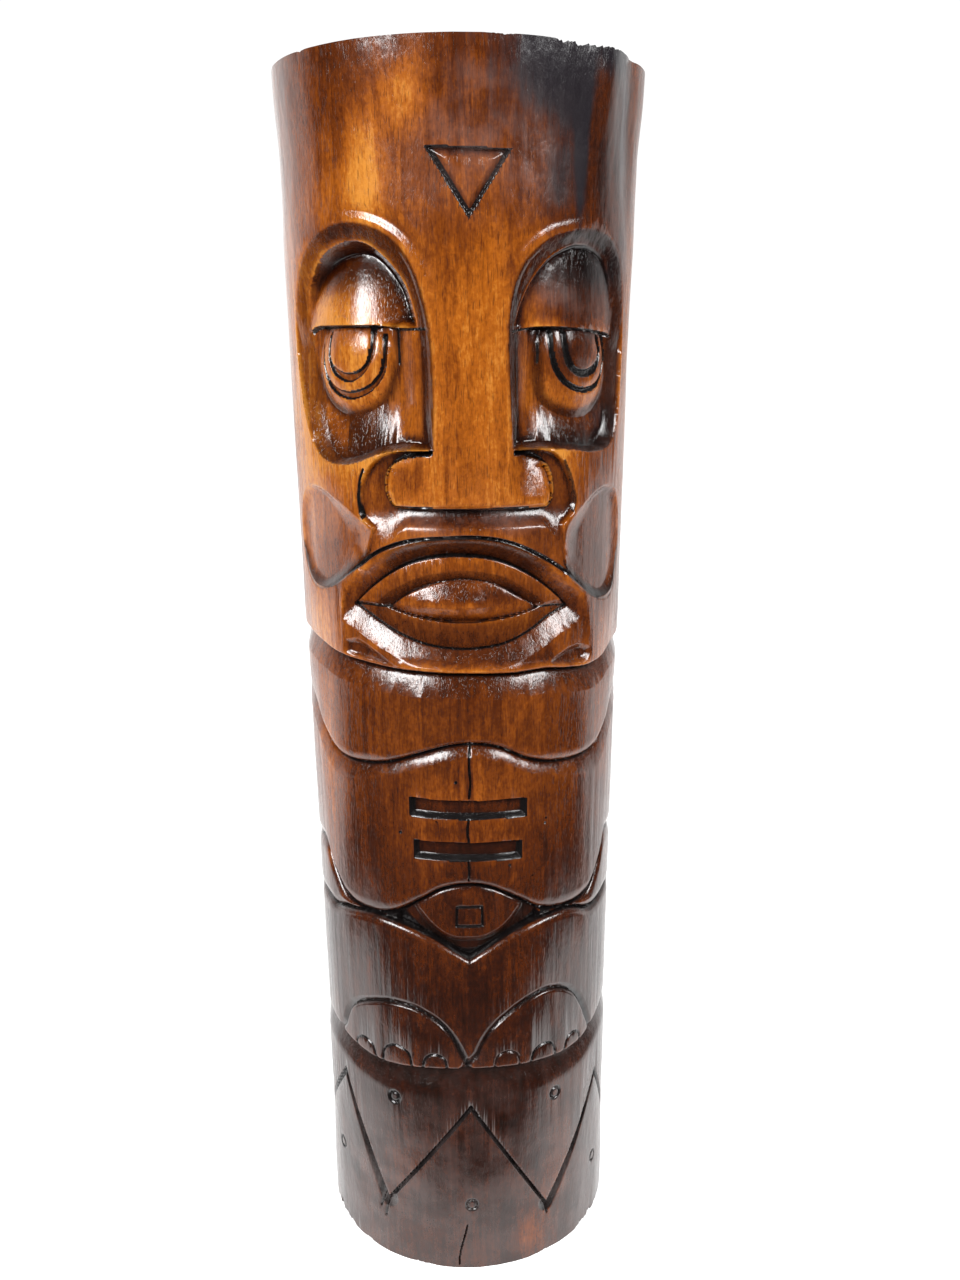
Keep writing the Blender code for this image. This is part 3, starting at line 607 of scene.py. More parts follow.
face = {
    "noseStep": 4.8,            # depths are in mm below the log's skin
    "muzzleFoot": 0.9,
    "muzzleRun": (7.2, 8.3),    # mm that it slopes under the nose, and more of it at the sides
    "leftCorner": (18, 9),      # degrees to each side where it starts to slope gently, and over how many
    "rightCorner": (26, 7),
    "foldFrom": (330, 9),       # height where the folds beside the nose start, and over how many mm
    "nostrils": (1.3, 3.9),     # how far the two wings of the nose dip at their tops
    "wingRoll": 4.5,
    "padDepth": 3.2,
    "padFall": 0.8,             # how much shallower the pads are at the sides
    "mouthField": 1.8,
    "aboveLips": 3.4,
    "aboveRun": 7.5,
    "chin": (1.2, 3.8, 8.5),    # at the chin, more of it under the lip, and over how much that fades
    "upperLipDepth": 3.2,
    "lowerLipDepth": 3.0,
    "creaseDrop": 1.9,
    "lensEdge": 4.9,
    "lensCrown": 4.1,           # how far the lens between the lips rises from its edge
    "crownFall": 1.6,           # and how much less it does on the right
    "mouthLine": 301,           # height where the lips meet
    "ridge": 302.3,             # height of the lens's ridge, and how far it falls away above and below it
    "ridgeFall": (11.0, 5.5),
    "moustacheRoll": 2.6,
    "jawDepth": 2.0,
    "triangle": [(-10.5, 465.1), (14.5, 464), (2, 441.5)],
    "triangleBlack": [0.2, 0.8, 1.5],       # mm of stain along the top, the right and the left side
    "nose": [
        (-9.6, 371.9), (-9.6, 371.9), (-9.7, 359.3), (-9.7, 359.3), (-15.2, 358.7), (-20.8, 357.3),
        (-24.8, 353.2), (-25.6, 346.9), (-24, 341.8), (-22.4, 340), (-22.4, 340), (27.5, 339.2),
        (27.5, 339.2), (29.5, 342.8), (29.4, 349.4), (27, 355.4), (21.9, 358.4), (15.6, 358.9),
        (15.6, 358.9), (15.6, 371.9), (15.6, 371.9),
    ],
    "muzzle": [
        (-16.2, 361.1), (-24.3, 360.1), (-30.8, 355.9), (-35, 348.4), (-36, 339.9), (-35.8, 335.5),
        (-35.8, 335.5), (-30.6, 331.3), (-30.6, 331.3), (-38.5, 313.8), (-38.5, 313.8), (0, 325.9),
        (36.5, 308.8), (36.5, 308.8), (33.9, 331.4), (33.9, 331.4), (38, 335.4), (38, 335.4), (39.3, 340.9),
        (36.5, 351.4), (31.9, 358.4), (25.3, 360.9), (14.2, 360.9),
    ],
    "leftFold": [(-33.6, 353.4), (-35.2, 349), (-36, 343), (-35.7, 338), (-34.8, 335)],
    "rightFold": [(34.2, 356), (37.3, 349), (39.1, 341), (38.2, 336.2)],
    "pads": [
        [(-30.6, 331.2), (-30.6, 331.2), (-37.4, 336.3), (-45.5, 341.5), (-54.4, 345.1), (-63.2, 345),
         (-70, 340), (-74, 329), (-73, 317), (-68.5, 309.5), (-61.3, 305.4), (-53.5, 305.1), (-45.5, 308.3),
         (-37.4, 315.4), (-32.8, 319.4)],
        [(34.9, 329.4), (37.9, 334.4), (44, 340.1), (51.5, 343.9), (59.4, 344.1), (66.1, 340.2), (69.8, 330),
         (70, 315), (66.6, 304.3), (59.8, 299.5), (51.5, 299.6), (44, 303.6), (37.9, 309.7), (34.4, 317.9)],
    ],
    "moustache": [
        (-73, 317), (-68.6, 309.5), (-62.8, 305.1), (-56.6, 304.2), (-48.8, 307.4), (-38.7, 315.1),
        (-28.8, 322.8), (-18.1, 327.2), (-5.2, 328.6), (5.4, 328.5), (15, 326.1), (25.8, 320.2), (36.8, 312),
        (47, 302.7), (55.2, 298.6), (62.1, 298.9), (67, 304.2), (70, 315),
    ],
    "mouth": [
        (-38.5, 315.8), (-43.1, 308.8), (-45.1, 299.8), (-45.6, 290.8), (-43.6, 276.8), (-43.6, 276.8),
        (47.2, 273.7), (47.2, 273.7), (49.7, 284.8), (48.2, 294.8), (43.6, 302.8), (38.5, 308.8),
        (38.5, 308.8), (20.2, 325.9), (0, 331.9), (-20.2, 327.9), (-38.5, 315.8),
    ],
    "upperLip": [
        (-42.1, 300), (-32.9, 308.8), (-21.7, 317), (-10.8, 320.9), (0.1, 321.5), (11, 319.5), (22, 313.5),
        (30.9, 306.3), (39, 298.5),
    ],
    "lipCrease": [
        (-31.7, 302.2), (-25.3, 307.8), (-13.6, 313.9), (0.1, 315.7), (12.7, 313.2), (23.3, 305.8),
        (29.7, 300.7),
    ],
    "lens": [
        (-27.2, 300.6), (-27.2, 300.6), (-19.5, 306.5), (-9.7, 311), (0.1, 312.4), (9.9, 310.2),
        (18.6, 304.7), (25.8, 299.8), (25.8, 299.8), (16.4, 297.2), (0.1, 295.5), (-15.1, 297.1),
    ],
    "partings": [[(-42.1, 300.2), (-34.3, 300.6), (-26.7, 300.9)], [(25.2, 300), (32.3, 299.6), (39, 298.5)]],
    "lowerLip": [
        (-41.7, 300.1), (-34.9, 296.3), (-23.8, 290.2), (-12.9, 286.2), (0.1, 284.8), (13.1, 286.2),
        (22.9, 290.4), (30.7, 295.5), (38.6, 298.4),
    ],
    "jaws": [
        [(-44.7, 286.2), (-38.6, 287), (-29.8, 282.5), (-20.1, 276.6), (-20.1, 276.6), (-32, 275.8),
         (-43, 277.7), (-45.9, 281.6)],
        [(28.9, 276.9), (35.5, 281.6), (42.8, 283.1), (49, 280.5), (49.5, 276.5), (45.6, 272.9), (37.7, 273)],
    ],
}


def carveBrow(cut):
    # a triangle cut deepest along its outline, one side blacker than the other
    outline = straight(face["triangle"])
    inside = within(cut.u, cut.z, outline, 12)
    cut.lower(ease(inside / 0.9) * (0.35 + 2.1 * np.clip(1 - inside / 3.3, 0, 1)))
    for start, end, black in zip(outline, np.roll(outline, -1, axis=0), face["triangleBlack"]):
        gap = gapTo(cut.u, cut.z, np.array((start, end)), 5)
        cut.mark((inside > -0.2) * (1 - ramp(gap, black, 0.6)))


def carveMuzzle(cut):
    # the upper lip and the folds beside the nostrils, cut back so that the nose stands proud
    u, z = cut.u, cut.z
    nose = within(u, z, curve(face["nose"], True))
    muzzle = within(u, z, curve(face["muzzle"], True))
    beside = -nose
    step = face["noseStep"]
    gentle = np.where(cut.angle < 0, ramp(-cut.angle, *face["leftCorner"]),
                      ramp(cut.angle, *face["rightCorner"]))
    foot, run = face["muzzleFoot"], face["muzzleRun"][0] + face["muzzleRun"][1] * gentle
    under = foot + (step - foot) * (1 - np.clip(beside / run, 0, 1))
    fold = step - 2.0 * np.clip(beside / 12, 0, 1)
    inFold = ramp(z, *face["foldFrom"])
    slope = (under + (np.maximum(fold, under) - under) * inFold) * ease(beside / 1.0)
    slope = np.maximum(cut.depth, slope * ease(muzzle / 1.0))
    cut.depth = np.where((muzzle > 0) & (nose < 0), slope, cut.depth)
    nostril = np.where(cut.angle < 2, *face["nostrils"]) * np.clip((z - 341) / 17, 0, 1)
    nostril = nostril * ramp(np.abs(cut.angle - 2), 11, 9)
    sides = shoulder(nose / face["wingRoll"]) * np.where(z > 354, 0.3, 2.0)
    cut.depth = np.where((nose > 0) & (z < 362), np.maximum(cut.depth, nostril + sides), cut.depth)
    nearNose = (nose < 0.2) & (muzzle > 0)
    cut.mark(nearNose * (z > 356) * (1 - ramp(beside, 1.0, 0.8)))
    cut.mark(nearNose * (z < 342) * (1 - ramp(beside, 0.1, 0.6)))
    cut.mark(nearNose * (1 - ramp(beside, 0.1, 0.5)) * 0.6)
    cut.groove(curve(face["leftFold"]), 0.9, 0.8, dark=0.7)
    cut.groove(curve(face["rightFold"]), 0.8, 0.6, dark=0.5)


def carvePads(cut):
    # two hollow leaves on the cheeks, deepest towards the sides, with the roll along the lower edge darkened
    # as painted shade and black-stained on the right
    for outline in face["pads"]:
        pad = within(cut.u, cut.z, curve(outline, True))
        outward = np.abs(cut.angle)
        hollow = face["padDepth"] - face["padFall"] * ramp(outward, 40, 26)
        wall = 3.4 + 8.0 * (1 - ramp(outward, 38, 20)) + 3.0 * ramp(outward, 55, 15)
        cut.lower(np.where(pad > 0, hollow * np.sin(np.clip(pad / wall, 0, 1) * np.pi / 2), 0))
        below = heightOf(cut.u, face["moustache"])
        roll = (pad > 0) * (1 - ramp(cut.z - below, 2.0, 3.6)) * (cut.z > below - 0.5)
        cut.paintShade(roll * 0.88)
        cut.mark(roll * (cut.angle > 0) * 0.42)
        cut.mark((np.abs(pad) < 1.2) * (1 - ease(np.abs(pad) / 0.8)) * 0.35)


def carveMouth(cut):
    # pouting lips round a ridged lens, in a shallow field under the moustache line
    angle, u, z = cut.angle, cut.u, cut.z
    mouth = within(u, z, curve(face["mouth"], True))
    field = face["mouthField"] * ease(mouth / 6)
    inSpan = (angle > face["upperLip"][0][0]) & (angle < face["upperLip"][-1][0])
    upper, lower, crease = (np.where(inSpan, heightOf(u, face[name]), face["mouthLine"])
                            for name in ("upperLip", "lowerLip", "lipCrease"))
    toUpper, toLower = (gapTo(u, z, curve(face[name]), 14) for name in ("upperLip", "lowerLip"))
    lips = (z < upper) & (z > lower)

    near = 1 - np.clip(toUpper / face["aboveRun"], 0, 1)
    aboveLips = field + face["aboveLips"] * near * upTo(toUpper, 14, 2)
    inner = face["lowerLipDepth"] + face["creaseDrop"] * np.clip((crease - z) / 4.5, 0, 1)
    upperLip = np.where(z > crease, face["upperLipDepth"], inner)
    lowerLip = face["lowerLipDepth"] + 1.5 * np.clip(1 - toLower / 9, 0, 1)
    low, more, run = face["chin"]
    chin = np.maximum(field * 0.7, low * ease(mouth / 6) + more * (1 - np.clip(toLower / run, 0, 1)))

    lens = within(u, z, curve(face["lens"], True), 14)
    ridge = np.clip(1 - np.abs(z - face["ridge"]) / np.where(z > face["ridge"], *face["ridgeFall"]), 0, 1)
    lip = np.where(z > face["mouthLine"] + 0.5, upperLip, lowerLip)
    crown = 1 - np.clip(np.abs(angle - 1) / 28, 0, 1) ** 2.5
    raised = (face["lensCrown"] - face["crownFall"] * ramp(angle, 1, 8)) * ridge * crown
    lip = np.where(lens > 0, face["lensEdge"] - raised, lip)

    above = np.where(inSpan, np.where(z > upper, 1.0, 0.0), ease((z - upper) / 9 + 0.5))
    around = chin + (aboveLips - chin) * above
    underLine = (mouth > 0) & (z < heightOf(u, face["moustache"])) & ~lips
    cut.depth = np.where(underLine, np.maximum(cut.depth, around), cut.depth)
    cut.depth = np.where(lips, lip, cut.depth)
    # painted shade on the band above the upper lip, along the lips' crease and on the lower lip
    cut.paintShade(underLine * (z > upper) * inSpan * 0.75 * upTo(np.abs(angle), 34, 14))
    cut.paintShade(lips * ease((crease - z + 0.4) / 0.8) * (z > face["mouthLine"]) * (lens < 0) * 0.6)
    cut.paintShade(lips * (z < face["mouthLine"]) * (lens < 0) * 0.35)
    roll = face["moustacheRoll"] * shoulder(gapTo(u, z, curve(face["moustache"]), 6) / 3.6)
    cut.lower(roll * (z > heightOf(u, face["moustache"])) * upTo(np.abs(angle), 34, 3))

    for jaw in face["jaws"]:
        inside = within(u, z, curve(jaw, True), 14)
        cut.depth = cut.depth + face["jawDepth"] * ease(inside / 3.5)
    across = np.where(np.abs(angle) < 74, 0.3 + 0.7 * upTo(np.abs(angle), 44, 10), 0)
    cut.groove(curve(face["moustache"]), 1.1, 0.9, where=across, dark=0.9)
    cut.groove(curve(face["upperLip"]), 0.75, 0.7)
    cut.groove(curve(face["lowerLip"]), 0.7, 0.6)
    cut.groove(curve(face["lens"], True), 0.5, 0.35, dark=0.55)
    for parting in face["partings"]:
        cut.groove(curve(parting), 0.6, 0.5, dark=0.7)


def logRadius(angle, z):
    # the log before carving: a slight taper, a flare at both ends and two natural lobes
    height = log["height"]
    radius = log["baseRadius"] + (log["topRadius"] - log["baseRadius"]) * z / height
    radius = radius + log["flare"] * (ramp(z, height - 32, 32) + upTo(z, 60, 50))
    radius = radius - log["waist"] * ramp(z, 432, 26) * (1 - ramp(z, 464, 30))
    for middle, half, size, foot, rise in log["lobes"]:
        radius = radius + size * hump(angle, middle, half) * ramp(z, foot, rise)
    return radius


def carve(angle, z):
    cut = Cut(angle, z)
    carveTrunk(cut)
    carveBrow(cut)
    for eye in (leftEye, rightEye):
        carveEye(cut, eye)
    carveMuzzle(cut)
    carvePads(cut)
    carveMouth(cut)
    carveBelly(cut)
    carveFeet(cut)
    carveZigzag(cut)
    return cut


def layOut(sheet):
    # the flat sheet's columns and rows as angles and heights; rows past the edges fold over the two ends
    share = log["frontColumns"] / (log["frontColumns"] + log["backColumns"])
    half = log["frontHalf"]
    angle = np.interp(sheet[:, 0], [-1, -share, share, 1], [-180, -half, half, 180])
    rows = log["rows"] + 2 * log["endRows"]
    row = (sheet[:, 1] + 1) / 2 * rows
    z = np.clip((row - log["endRows"]) / log["rows"], 0, 1) * log["height"]
    reach = np.clip(np.minimum(row, rows - row) / log["endRows"], 0, 1)
    return angle, z, reach          # reach is 0 at the middle of an end and 1 at its rim


def setField(mesh, name, values):
    layer = mesh.attributes.get(name) or mesh.attributes.new(name, "FLOAT", "POINT")
    layer.data.foreach_set("value", np.asarray(values, np.float32))


def softened(sheet, reach):
    # each point averaged with its neighbours, twice
    span = 2 * reach + 1
    for axis in (0, 1, 0, 1):
        margins = [(reach + 1, reach) if way == axis else (0, 0) for way in (0, 1)]
        total = np.cumsum(np.pad(sheet, margins, "edge"), axis)
        count = sheet.shape[axis]
        sheet = (total.take(range(span, span + count), axis) - total.take(range(count), axis)) / span
    return sheet


def edgesOf(field):
    # 1 where the field changes from one grid point to the next, and beside that
    rows = log["rows"] + 2 * log["endRows"] + 1
    sheet = field.reshape(rows, -1)
    change = np.zeros(sheet.shape)
    for turned, flat in ((change, sheet), (change.T, sheet.T)):
        turned[1:] += np.abs(np.diff(flat, axis=0))
        turned[:-1] += np.abs(np.diff(flat, axis=0))
    return (change > 0.25).ravel()


ends = {
    # chips and the ragged foot as (degrees, half width, mm), checks as (degrees, from, to) out from the heart
    "chips": [
        (31, 5, 1.6), (37, 4, 3), (43, 5, 2.2), (50, 3, 1), (-52, 3, 0.5), (12, 6, 0.5), (100, 9, 1.5),
        (-140, 7, 1.2),
    ],
    "ragged": [
        (-70, 9, 5), (-60, 6, 2.2), (-46, 5, 1), (-20, 8, 0.7), (30, 7, 0.8), (52, 5, 2), (59, 5, 3.4),
        (68, 7, 2), (110, 9, 1.5), (-120, 12, 2), (165, 9, 1.2),
    ],
    "checks": [(-64, 0.25, 0.98), (24, 0.15, 0.8), (133, 0.3, 1), (-150, 0.2, 0.7), (78, 0.4, 0.95)],
    "checkDepth": 5.0,
    "chipHeight": 9,        # mm from the rims that the chips reach
    "saw": 0.25,
}


def roughEnds(angle, z, reach):
    # chips along the two rims, saw marks, and checks running out from the heart
    height, tall = log["height"], ends["chipHeight"]
    atRim = ramp(reach, 0.80, 0.2)
    notch = 0.55 + 0.45 * np.sin(angle * 1.9) * np.sin(angle * 0.83 + 1) + 0.25 * np.sin(angle * 5.3)
    for chips, way, fromEnd in ((ends["chips"], -1, height - z), (ends["ragged"], 1, z)):
        drop = sum(size * hump(angle, middle, half) for middle, half, size in chips)
        drop = drop * np.clip(notch, 0.1, 1.3) * atRim * np.clip(1 - fromEnd / tall, 0, 1)
        z = np.where(fromEnd < tall, z + way * drop, z)
    across = reach * np.sin(np.radians(angle - 20)) * 34
    onEnd = reach < 0.985
    saw = ends["saw"] * (0.5 + 0.5 * np.sin(across * 2.4 + np.sin(across * 0.7) * 2)) * onEnd
    for middle, start, stop in ends["checks"]:
        gap = np.abs(angle - middle + 2.2 * np.sin(reach * 9 + middle)) * reach
        check = np.clip(1 - gap / 0.8, 0, 1) * ramp(reach, start, 0.2) * (reach < stop) * onEnd
        saw = saw + ends["checkDepth"] * check
    return np.where(z > height / 2, z - saw, z + saw * 0.5 * onEnd)


def carvedLog():
    bm = bmesh.new()
    bmesh.ops.create_grid(bm, x_segments=log["frontColumns"] + log["backColumns"],
                          y_segments=log["rows"] + 2 * log["endRows"], size=1)
    mesh = bpy.data.meshes.new("tikiLog")
    bm.to_mesh(mesh)
    bm.free()
    sheet = np.empty(len(mesh.vertices) * 3)
    mesh.vertices.foreach_get("co", sheet)
    angle, z, out = layOut(sheet.reshape(-1, 3))
    cut = carve(angle, z)
    sheet = cut.depth.reshape(log["rows"] + 2 * log["endRows"] + 1, -1)
    # how far each point lies below its neighbours; the material darkens hollows by it as painted shade
    hollow = sum(share * (sheet - softened(sheet, reach)) for reach, share in log["hollows"])
    z = roughEnds(angle, z, out)
    radius = (logRadius(angle, z) - cut.depth) * out
    turn = np.radians(angle)
    place = np.stack((radius * np.sin(turn), -radius * np.cos(turn), z), axis=1) * 0.001
    mesh.vertices.foreach_set("co", place.ravel())
    setField(mesh, "edgy", edgesOf(cut.stain))
    setField(mesh, "hollow", hollow.ravel())
    bm = bmesh.new()
    bm.from_mesh(mesh)
    bmesh.ops.remove_doubles(bm, verts=bm.verts, dist=log["weld"])
    bmesh.ops.recalc_face_normals(bm, faces=bm.faces)
    bmesh.ops.triangulate(bm, faces=bm.faces)
    bm.to_mesh(mesh)
    bm.free()
    return mesh


def thinned(piece):
    # fewer triangles where the surface is plain, all of them kept along the edges of the black stain
    mesh = piece.data
    edgy = np.empty(len(mesh.vertices))
    mesh.attributes["edgy"].data.foreach_get("value", edgy)
    plain = piece.vertex_groups.new(name="plain")
    plain.add(np.nonzero(edgy < 0.5)[0].tolist(), 0.5, "REPLACE")
    print("kept along stained edges:", int((edgy >= 0.5).sum()), "of", len(edgy))
    less = piece.modifiers.new("less", "DECIMATE")
    less.ratio = log["triangles"] / len(mesh.polygons)
    less.vertex_group = "plain"
    less.vertex_group_factor = log["evenness"]
    mesh = bpy.data.meshes.new_from_object(piece.evaluated_get(bpy.context.evaluated_depsgraph_get()))
    piece.modifiers.clear()
    piece.data = mesh


# The wood's tone by height and in patches, lightest round the face and darker below it; the tone by height is
# partly the wood's own and partly painted light. A patch is (degrees, mm, half width in degrees, half height
# in mm, amount).
wood = {
    "toneByHeight": [
        (0, 0.24), (60, 0.16), (110, 0.16), (150, 0.17), (168, 0.22), (200, 0.37), (240, 0.45), (262, 0.45),
        (285, 0.48), (310, 0.56), (340, 0.66), (370, 0.75), (420, 0.72), (450, 0.6), (500, 0.46),
    ],
    "patches": [
        (-29, 458, 9, 26, 0.42), (-17, 482, 9, 16, 0.36), (-42, 454, 12, 12, 0.1), (-46, 484, 14, 18, -0.02),
        (8, 405, 9, 50, 0.1), (2, 436, 8, 12, -0.1), (-5, 455, 10, 26, -0.04), (-8, 440, 5, 30, -0.06),
        (20, 470, 14, 34, -0.16), (30, 448, 8, 16, -0.28), (45, 455, 14, 44, -0.38),
        (62, 440, 12, 60, -0.25), (-64, 350, 14, 60, 0.14), (-48, 411, 12, 9, 0.26), (-38, 396, 10, 9, 0.1),
        # the patch at (-42, 438) is painted shade on the brow rim band
        (-42, 438, 20, 4, -0.2), (-22, 414, 7, 14, -0.2), (-50, 366, 14, 8, -0.12), (-16, 385, 4, 24, -0.1),
        (40, 412, 22, 24, -0.42), (40, 392, 16, 12, -0.42), (26, 383, 6, 16, 0.1), (17, 392, 4, 40, -0.3),
        (45, 365, 20, 12, -0.26), (22, 367, 6, 10, -0.2), (48, 350, 10, 12, -0.4), (34, 345, 6, 12, -0.06),
        (60, 350, 12, 30, -0.2), (46, 296, 10, 10, -0.16), (24, 350, 6, 10, -0.06), (-20, 350, 6, 8, -0.08),
        (-48, 352, 14, 8, 0.06), (-43, 324, 9, 14, 0.08), (46, 324, 12, 18, -0.28), (30, 333, 14, 8, -0.14),
        (2, 334, 30, 6, -0.24), (26, 324, 8, 10, -0.14), (0, 305, 22, 4, -0.12), (0, 298.5, 20, 3.2, 0.2),
        (18, 306, 12, 6, -0.16), (0, 290, 20, 5, -0.06), (20, 281, 14, 6, -0.18), (-58, 292, 14, 16, 0.22),
        (58, 290, 12, 12, -0.1), (0, 268, 50, 5, -0.12), (0, 254, 24, 10, 0.04), (-40, 250, 10, 16, -0.06),
        (44, 250, 14, 16, -0.14), (-62, 225, 14, 44, 0.22), (0, 196, 14, 14, -0.12),
        (-38, 214, 7, 28, -0.12), (50, 210, 12, 26, -0.1), (-62, 184, 7, 7, 0.24), (48, 142, 8, 16, 0.1),
        (13, 117, 9, 12, 0.05), (26, 14, 12, 18, 0.2), (38, 52, 10, 24, 0.18), (-26, 50, 10, 16, 0.08),
        (40, 28, 10, 10, 0.06), (33, 76, 9, 16, 0.22), (33, 38, 9, 12, 0.16), (24, 12, 11, 12, 0.16),
        (-27, 54, 12, 14, 0.12), (-20, 16, 12, 8, 0.1), (52, 84, 8, 12, 0.12), (-70, 300, 20, 120, 0.08),
        (0, 82, 60, 12, -0.1), (-18, 86, 10, 10, -0.06),
    ],
    "char": [
        (34, 503, 18, 30, 1), (38.5, 466, 3.2, 36, 1), (34, 474, 9, 28, 0.65), (30, 454, 6, 16, 0.42),
        (22, 492, 14, 16, 0.42), (10, 500, 22, 18, 0.42), (17, 478, 14, 14, 0.34), (25, 484, 6, 8, 0.25),
        (60, 482, 14, 34, 0.6), (50, 498, 14, 8, 0.6), (46, 468, 5, 18, -0.9), (52, 448, 8, 20, -0.3),
        (64, 465, 12, 40, 0.3), (60, 425, 12, 18, 0.5), (58, 370, 12, 12, 0.75), (46, 424, 14, 9, 0.45),
        (17, 400, 3, 50, 0.45), (40, 436, 24, 4, 0.3),
    ],
    # haze: duller varnish, with more roughness and a painted veil of reflected light over the colour
    "haze": [
        (34, 414, 12, 12, 0.5), (2, 334, 25, 7, 0.55), (5, 472, 20, 30, 0.42), (26, 462, 12, 22, 0.25),
        (0, 40, 200, 70, 0.3), (-50, 30, 30, 40, 0.35), (60, 40, 30, 40, 0.2), (-60, 330, 12, 20, 0.25),
        (-75, 200, 20, 200, 0.2), (75, 350, 20, 200, 0.2),
    ],
}


def patched(angle, z, patches):
    total = np.zeros(angle.shape)
    for middle, height, halfWidth, halfHeight, amount in patches:
        away = np.hypot((angle - middle) / halfWidth, (z - height) / halfHeight)
        total += amount * (1 - ease(away / 1.35))
    return total


def woodTone(angle, z):
    heights, tones = zip(*wood["toneByHeight"])
    return np.interp(z, heights, tones) + patched(angle, z, wood["patches"])


def finishSkin(mesh):
    # soft unevenness over the sides, and what the varnish reads at each point
    place = np.empty(len(mesh.vertices) * 3)
    mesh.vertices.foreach_get("co", place)
    x, y, z = place.reshape(-1, 3).T * 1000
    angle, radius = np.degrees(np.arctan2(x, -y)), np.hypot(x, y)
    cut = carve(angle, z)
    seed = log["seed"]
    broad = (0.5 + 0.5 * waves(x, y, z, (31, 24, 19, 15), seed)).clip(0, 1)
    fine = (0.5 + 0.5 * waves(x, y, z, (9, 7.5, 6, 5, 4.2), seed + 1)).clip(0, 1)
    shrink = 1 - log["uneven"] * (broad + 0.45 * fine) * (radius > 50) / np.maximum(radius, 1)
    place = np.stack((x * shrink, y * shrink, z), axis=1) * 0.001
    mesh.vertices.foreach_set("co", place.ravel())
    onEnd = ((z > log["height"] - 7) | (z < 6)) & (radius < logRadius(angle, z) - cut.depth - 1.2)
    fromEnd = np.where(z > log["height"] / 2, log["height"] - z, z)
    fields = {
        "stain": np.where(onEnd, 0.75 * ramp(fromEnd, 1.0, 2.5), cut.stain),
        "shade": np.where(onEnd, 0, cut.shade),
        "end": onEnd,
        "tone": woodTone(angle, z),
        "char": patched(angle, z, wood["char"]) * ramp(radius, 52, 8),
        "haze": patched(angle, z, wood["haze"]) * ~onEnd,
    }
    for name, values in fields.items():
        setField(mesh, name, values)
    mesh.shade_smooth()
    mesh.set_sharp_from_angle(angle=math.radians(log["crisp"]))


class Wire:
    # a shader socket: arithmetic on it adds Math nodes, and node() adds any other kind

    def __init__(self, tree, socket=None):
        self.tree = tree
        self.socket = socket

    def plug(self, made, values):
        for key, value in values.items():
            if isinstance(value, Wire):
                self.tree.links.new(value.socket, made.inputs[key])
            else:
                made.inputs[key].default_value = value

    def node(self, kind, settings=None, values=None, output=0):
        made = self.tree.nodes.new("ShaderNode" + kind)
        for name, value in (settings or {}).items():
            if name != "stops":
                setattr(made, name, value)
                continue
            for index, (spot, colour) in enumerate(value):
                stops = made.color_ramp.elements
                stop = stops[index] if index < len(stops) else stops.new(spot)
                stop.position = spot
                stop.color = (*colour, 1)
        self.plug(made, values or {})
        return Wire(self.tree, made.outputs[output])

    def math(self, operation, *values, **settings):
        return self.node("Math", {"operation": operation, **settings}, dict(enumerate(values)))

    def __add__(self, other):
        return self.math("ADD", self, other)

    def __radd__(self, other):
        return self.math("ADD", other, self)

    def __sub__(self, other):
        return self.math("SUBTRACT", self, other)

    def __rsub__(self, other):
        return self.math("SUBTRACT", other, self)

    def __mul__(self, other):
        return self.math("MULTIPLY", self, other)

    def __rmul__(self, other):
        return self.math("MULTIPLY", other, self)

    def __pow__(self, other):
        return self.math("POWER", self, other)

    def clamp(self):
        return self.math("ADD", self, 0.0, use_clamp=True)

    def step(self, start, end, high=1.0):
        return self.node("MapRange", {"interpolation_type": "SMOOTHSTEP"},
                         {0: self, 1: start, 2: end, 3: 0.0, 4: high})

    def tint(self, share, colour, blend="MIX"):
        return self.node("Mix", {"data_type": "RGBA", "blend_type": blend},
                         {0: share, 6: self, 7: (*colour, 1)}, output=2)

    def attribute(self, name):
        return self.node("Attribute", {"attribute_name": name}, output=2)

    def noise(self, scale, detail, rough, warp):
        place = self.node("Mapping", values={0: self.node("TexCoord", output=3), 3: scale})
        return self.node("TexNoise", values={"Vector": place, "Scale": 1.0, "Detail": detail,
                                             "Roughness": rough, "Distortion": warp})

    def axes(self):
        return [self.node("SeparateXYZ", values={0: self}, output=axis) for axis in range(3)]


def shaderOf(owner, name):
    owner.use_nodes = True
    return Wire(owner.node_tree), owner.node_tree.nodes[name]


varnish = {
    "ramp": [
        (0, (0.007, 0.003, 0.002)), (0.2, (0.017, 0.004, 0.0017)), (0.42, (0.05, 0.01, 0.0012)),
        (0.6, (0.108, 0.024, 0.0018)), (0.8, (0.215, 0.056, 0.0038)), (1, (0.36, 0.135, 0.018)),
    ],
    # waves per metre across (twice) and along the log, detail, roughness, warp, share in tone and in relief
    "noises": {
        "figure": ((75, 75, 8), 4, 0.6, 1.6, 0.38, 0),
        "streak": ((340, 340, 20), 4, 0.6, 0.5, 0.14, 0),
        "fibre": ((1600, 1600, 230), 4, 0.6, 0, 0.24, 0.25),
        "curl": ((750, 750, 520), 3, 0.6, 0.6, 0.36, 0),
        "blotch": ((210, 210, 120), 3, 0.6, 0.8, 0.26, 0.6),
        "mottle": ((55, 55, 80), 3, 0.5, 0, 0.2, 0.8),
        "grit": ((2300, 2300, 420), 2, 0.5, 0, 0, 0.35),
        "drag": ((430, 430, 200), 2, 0.5, 0, 0, 0.6),
    },
    "poreScale": (2500, 2500, 200),
    "poreTone": 0.45,
    "poreDepth": 0.15,
    "pore": (0.016, 0.005, 0.003),
    "charcoal": (0.010, 0.008, 0.010),
    "stainBlack": (0.004, 0.003, 0.003),
    "paintedShade": (0.10, 0.055, 0.05),
    # a painted reflection: the pale colour laid over the haze
    "paintedVeil": (0.17, 0.12, 0.11),
    "paintedVeilTone": 0.45,
    "hollowShade": 0.22,
    "pith": (0.009, -0.006),        # metres from the middle of the log
    "ringWidth": 0.0042,
    "ringTone": 0.10,               # how strong the growth rings are on the sides and on the sawn ends
    "ringEndTone": 0.34,
    "endTone": 0.32,
    "roughness": 0.16,
    "bump": 0.48,
}


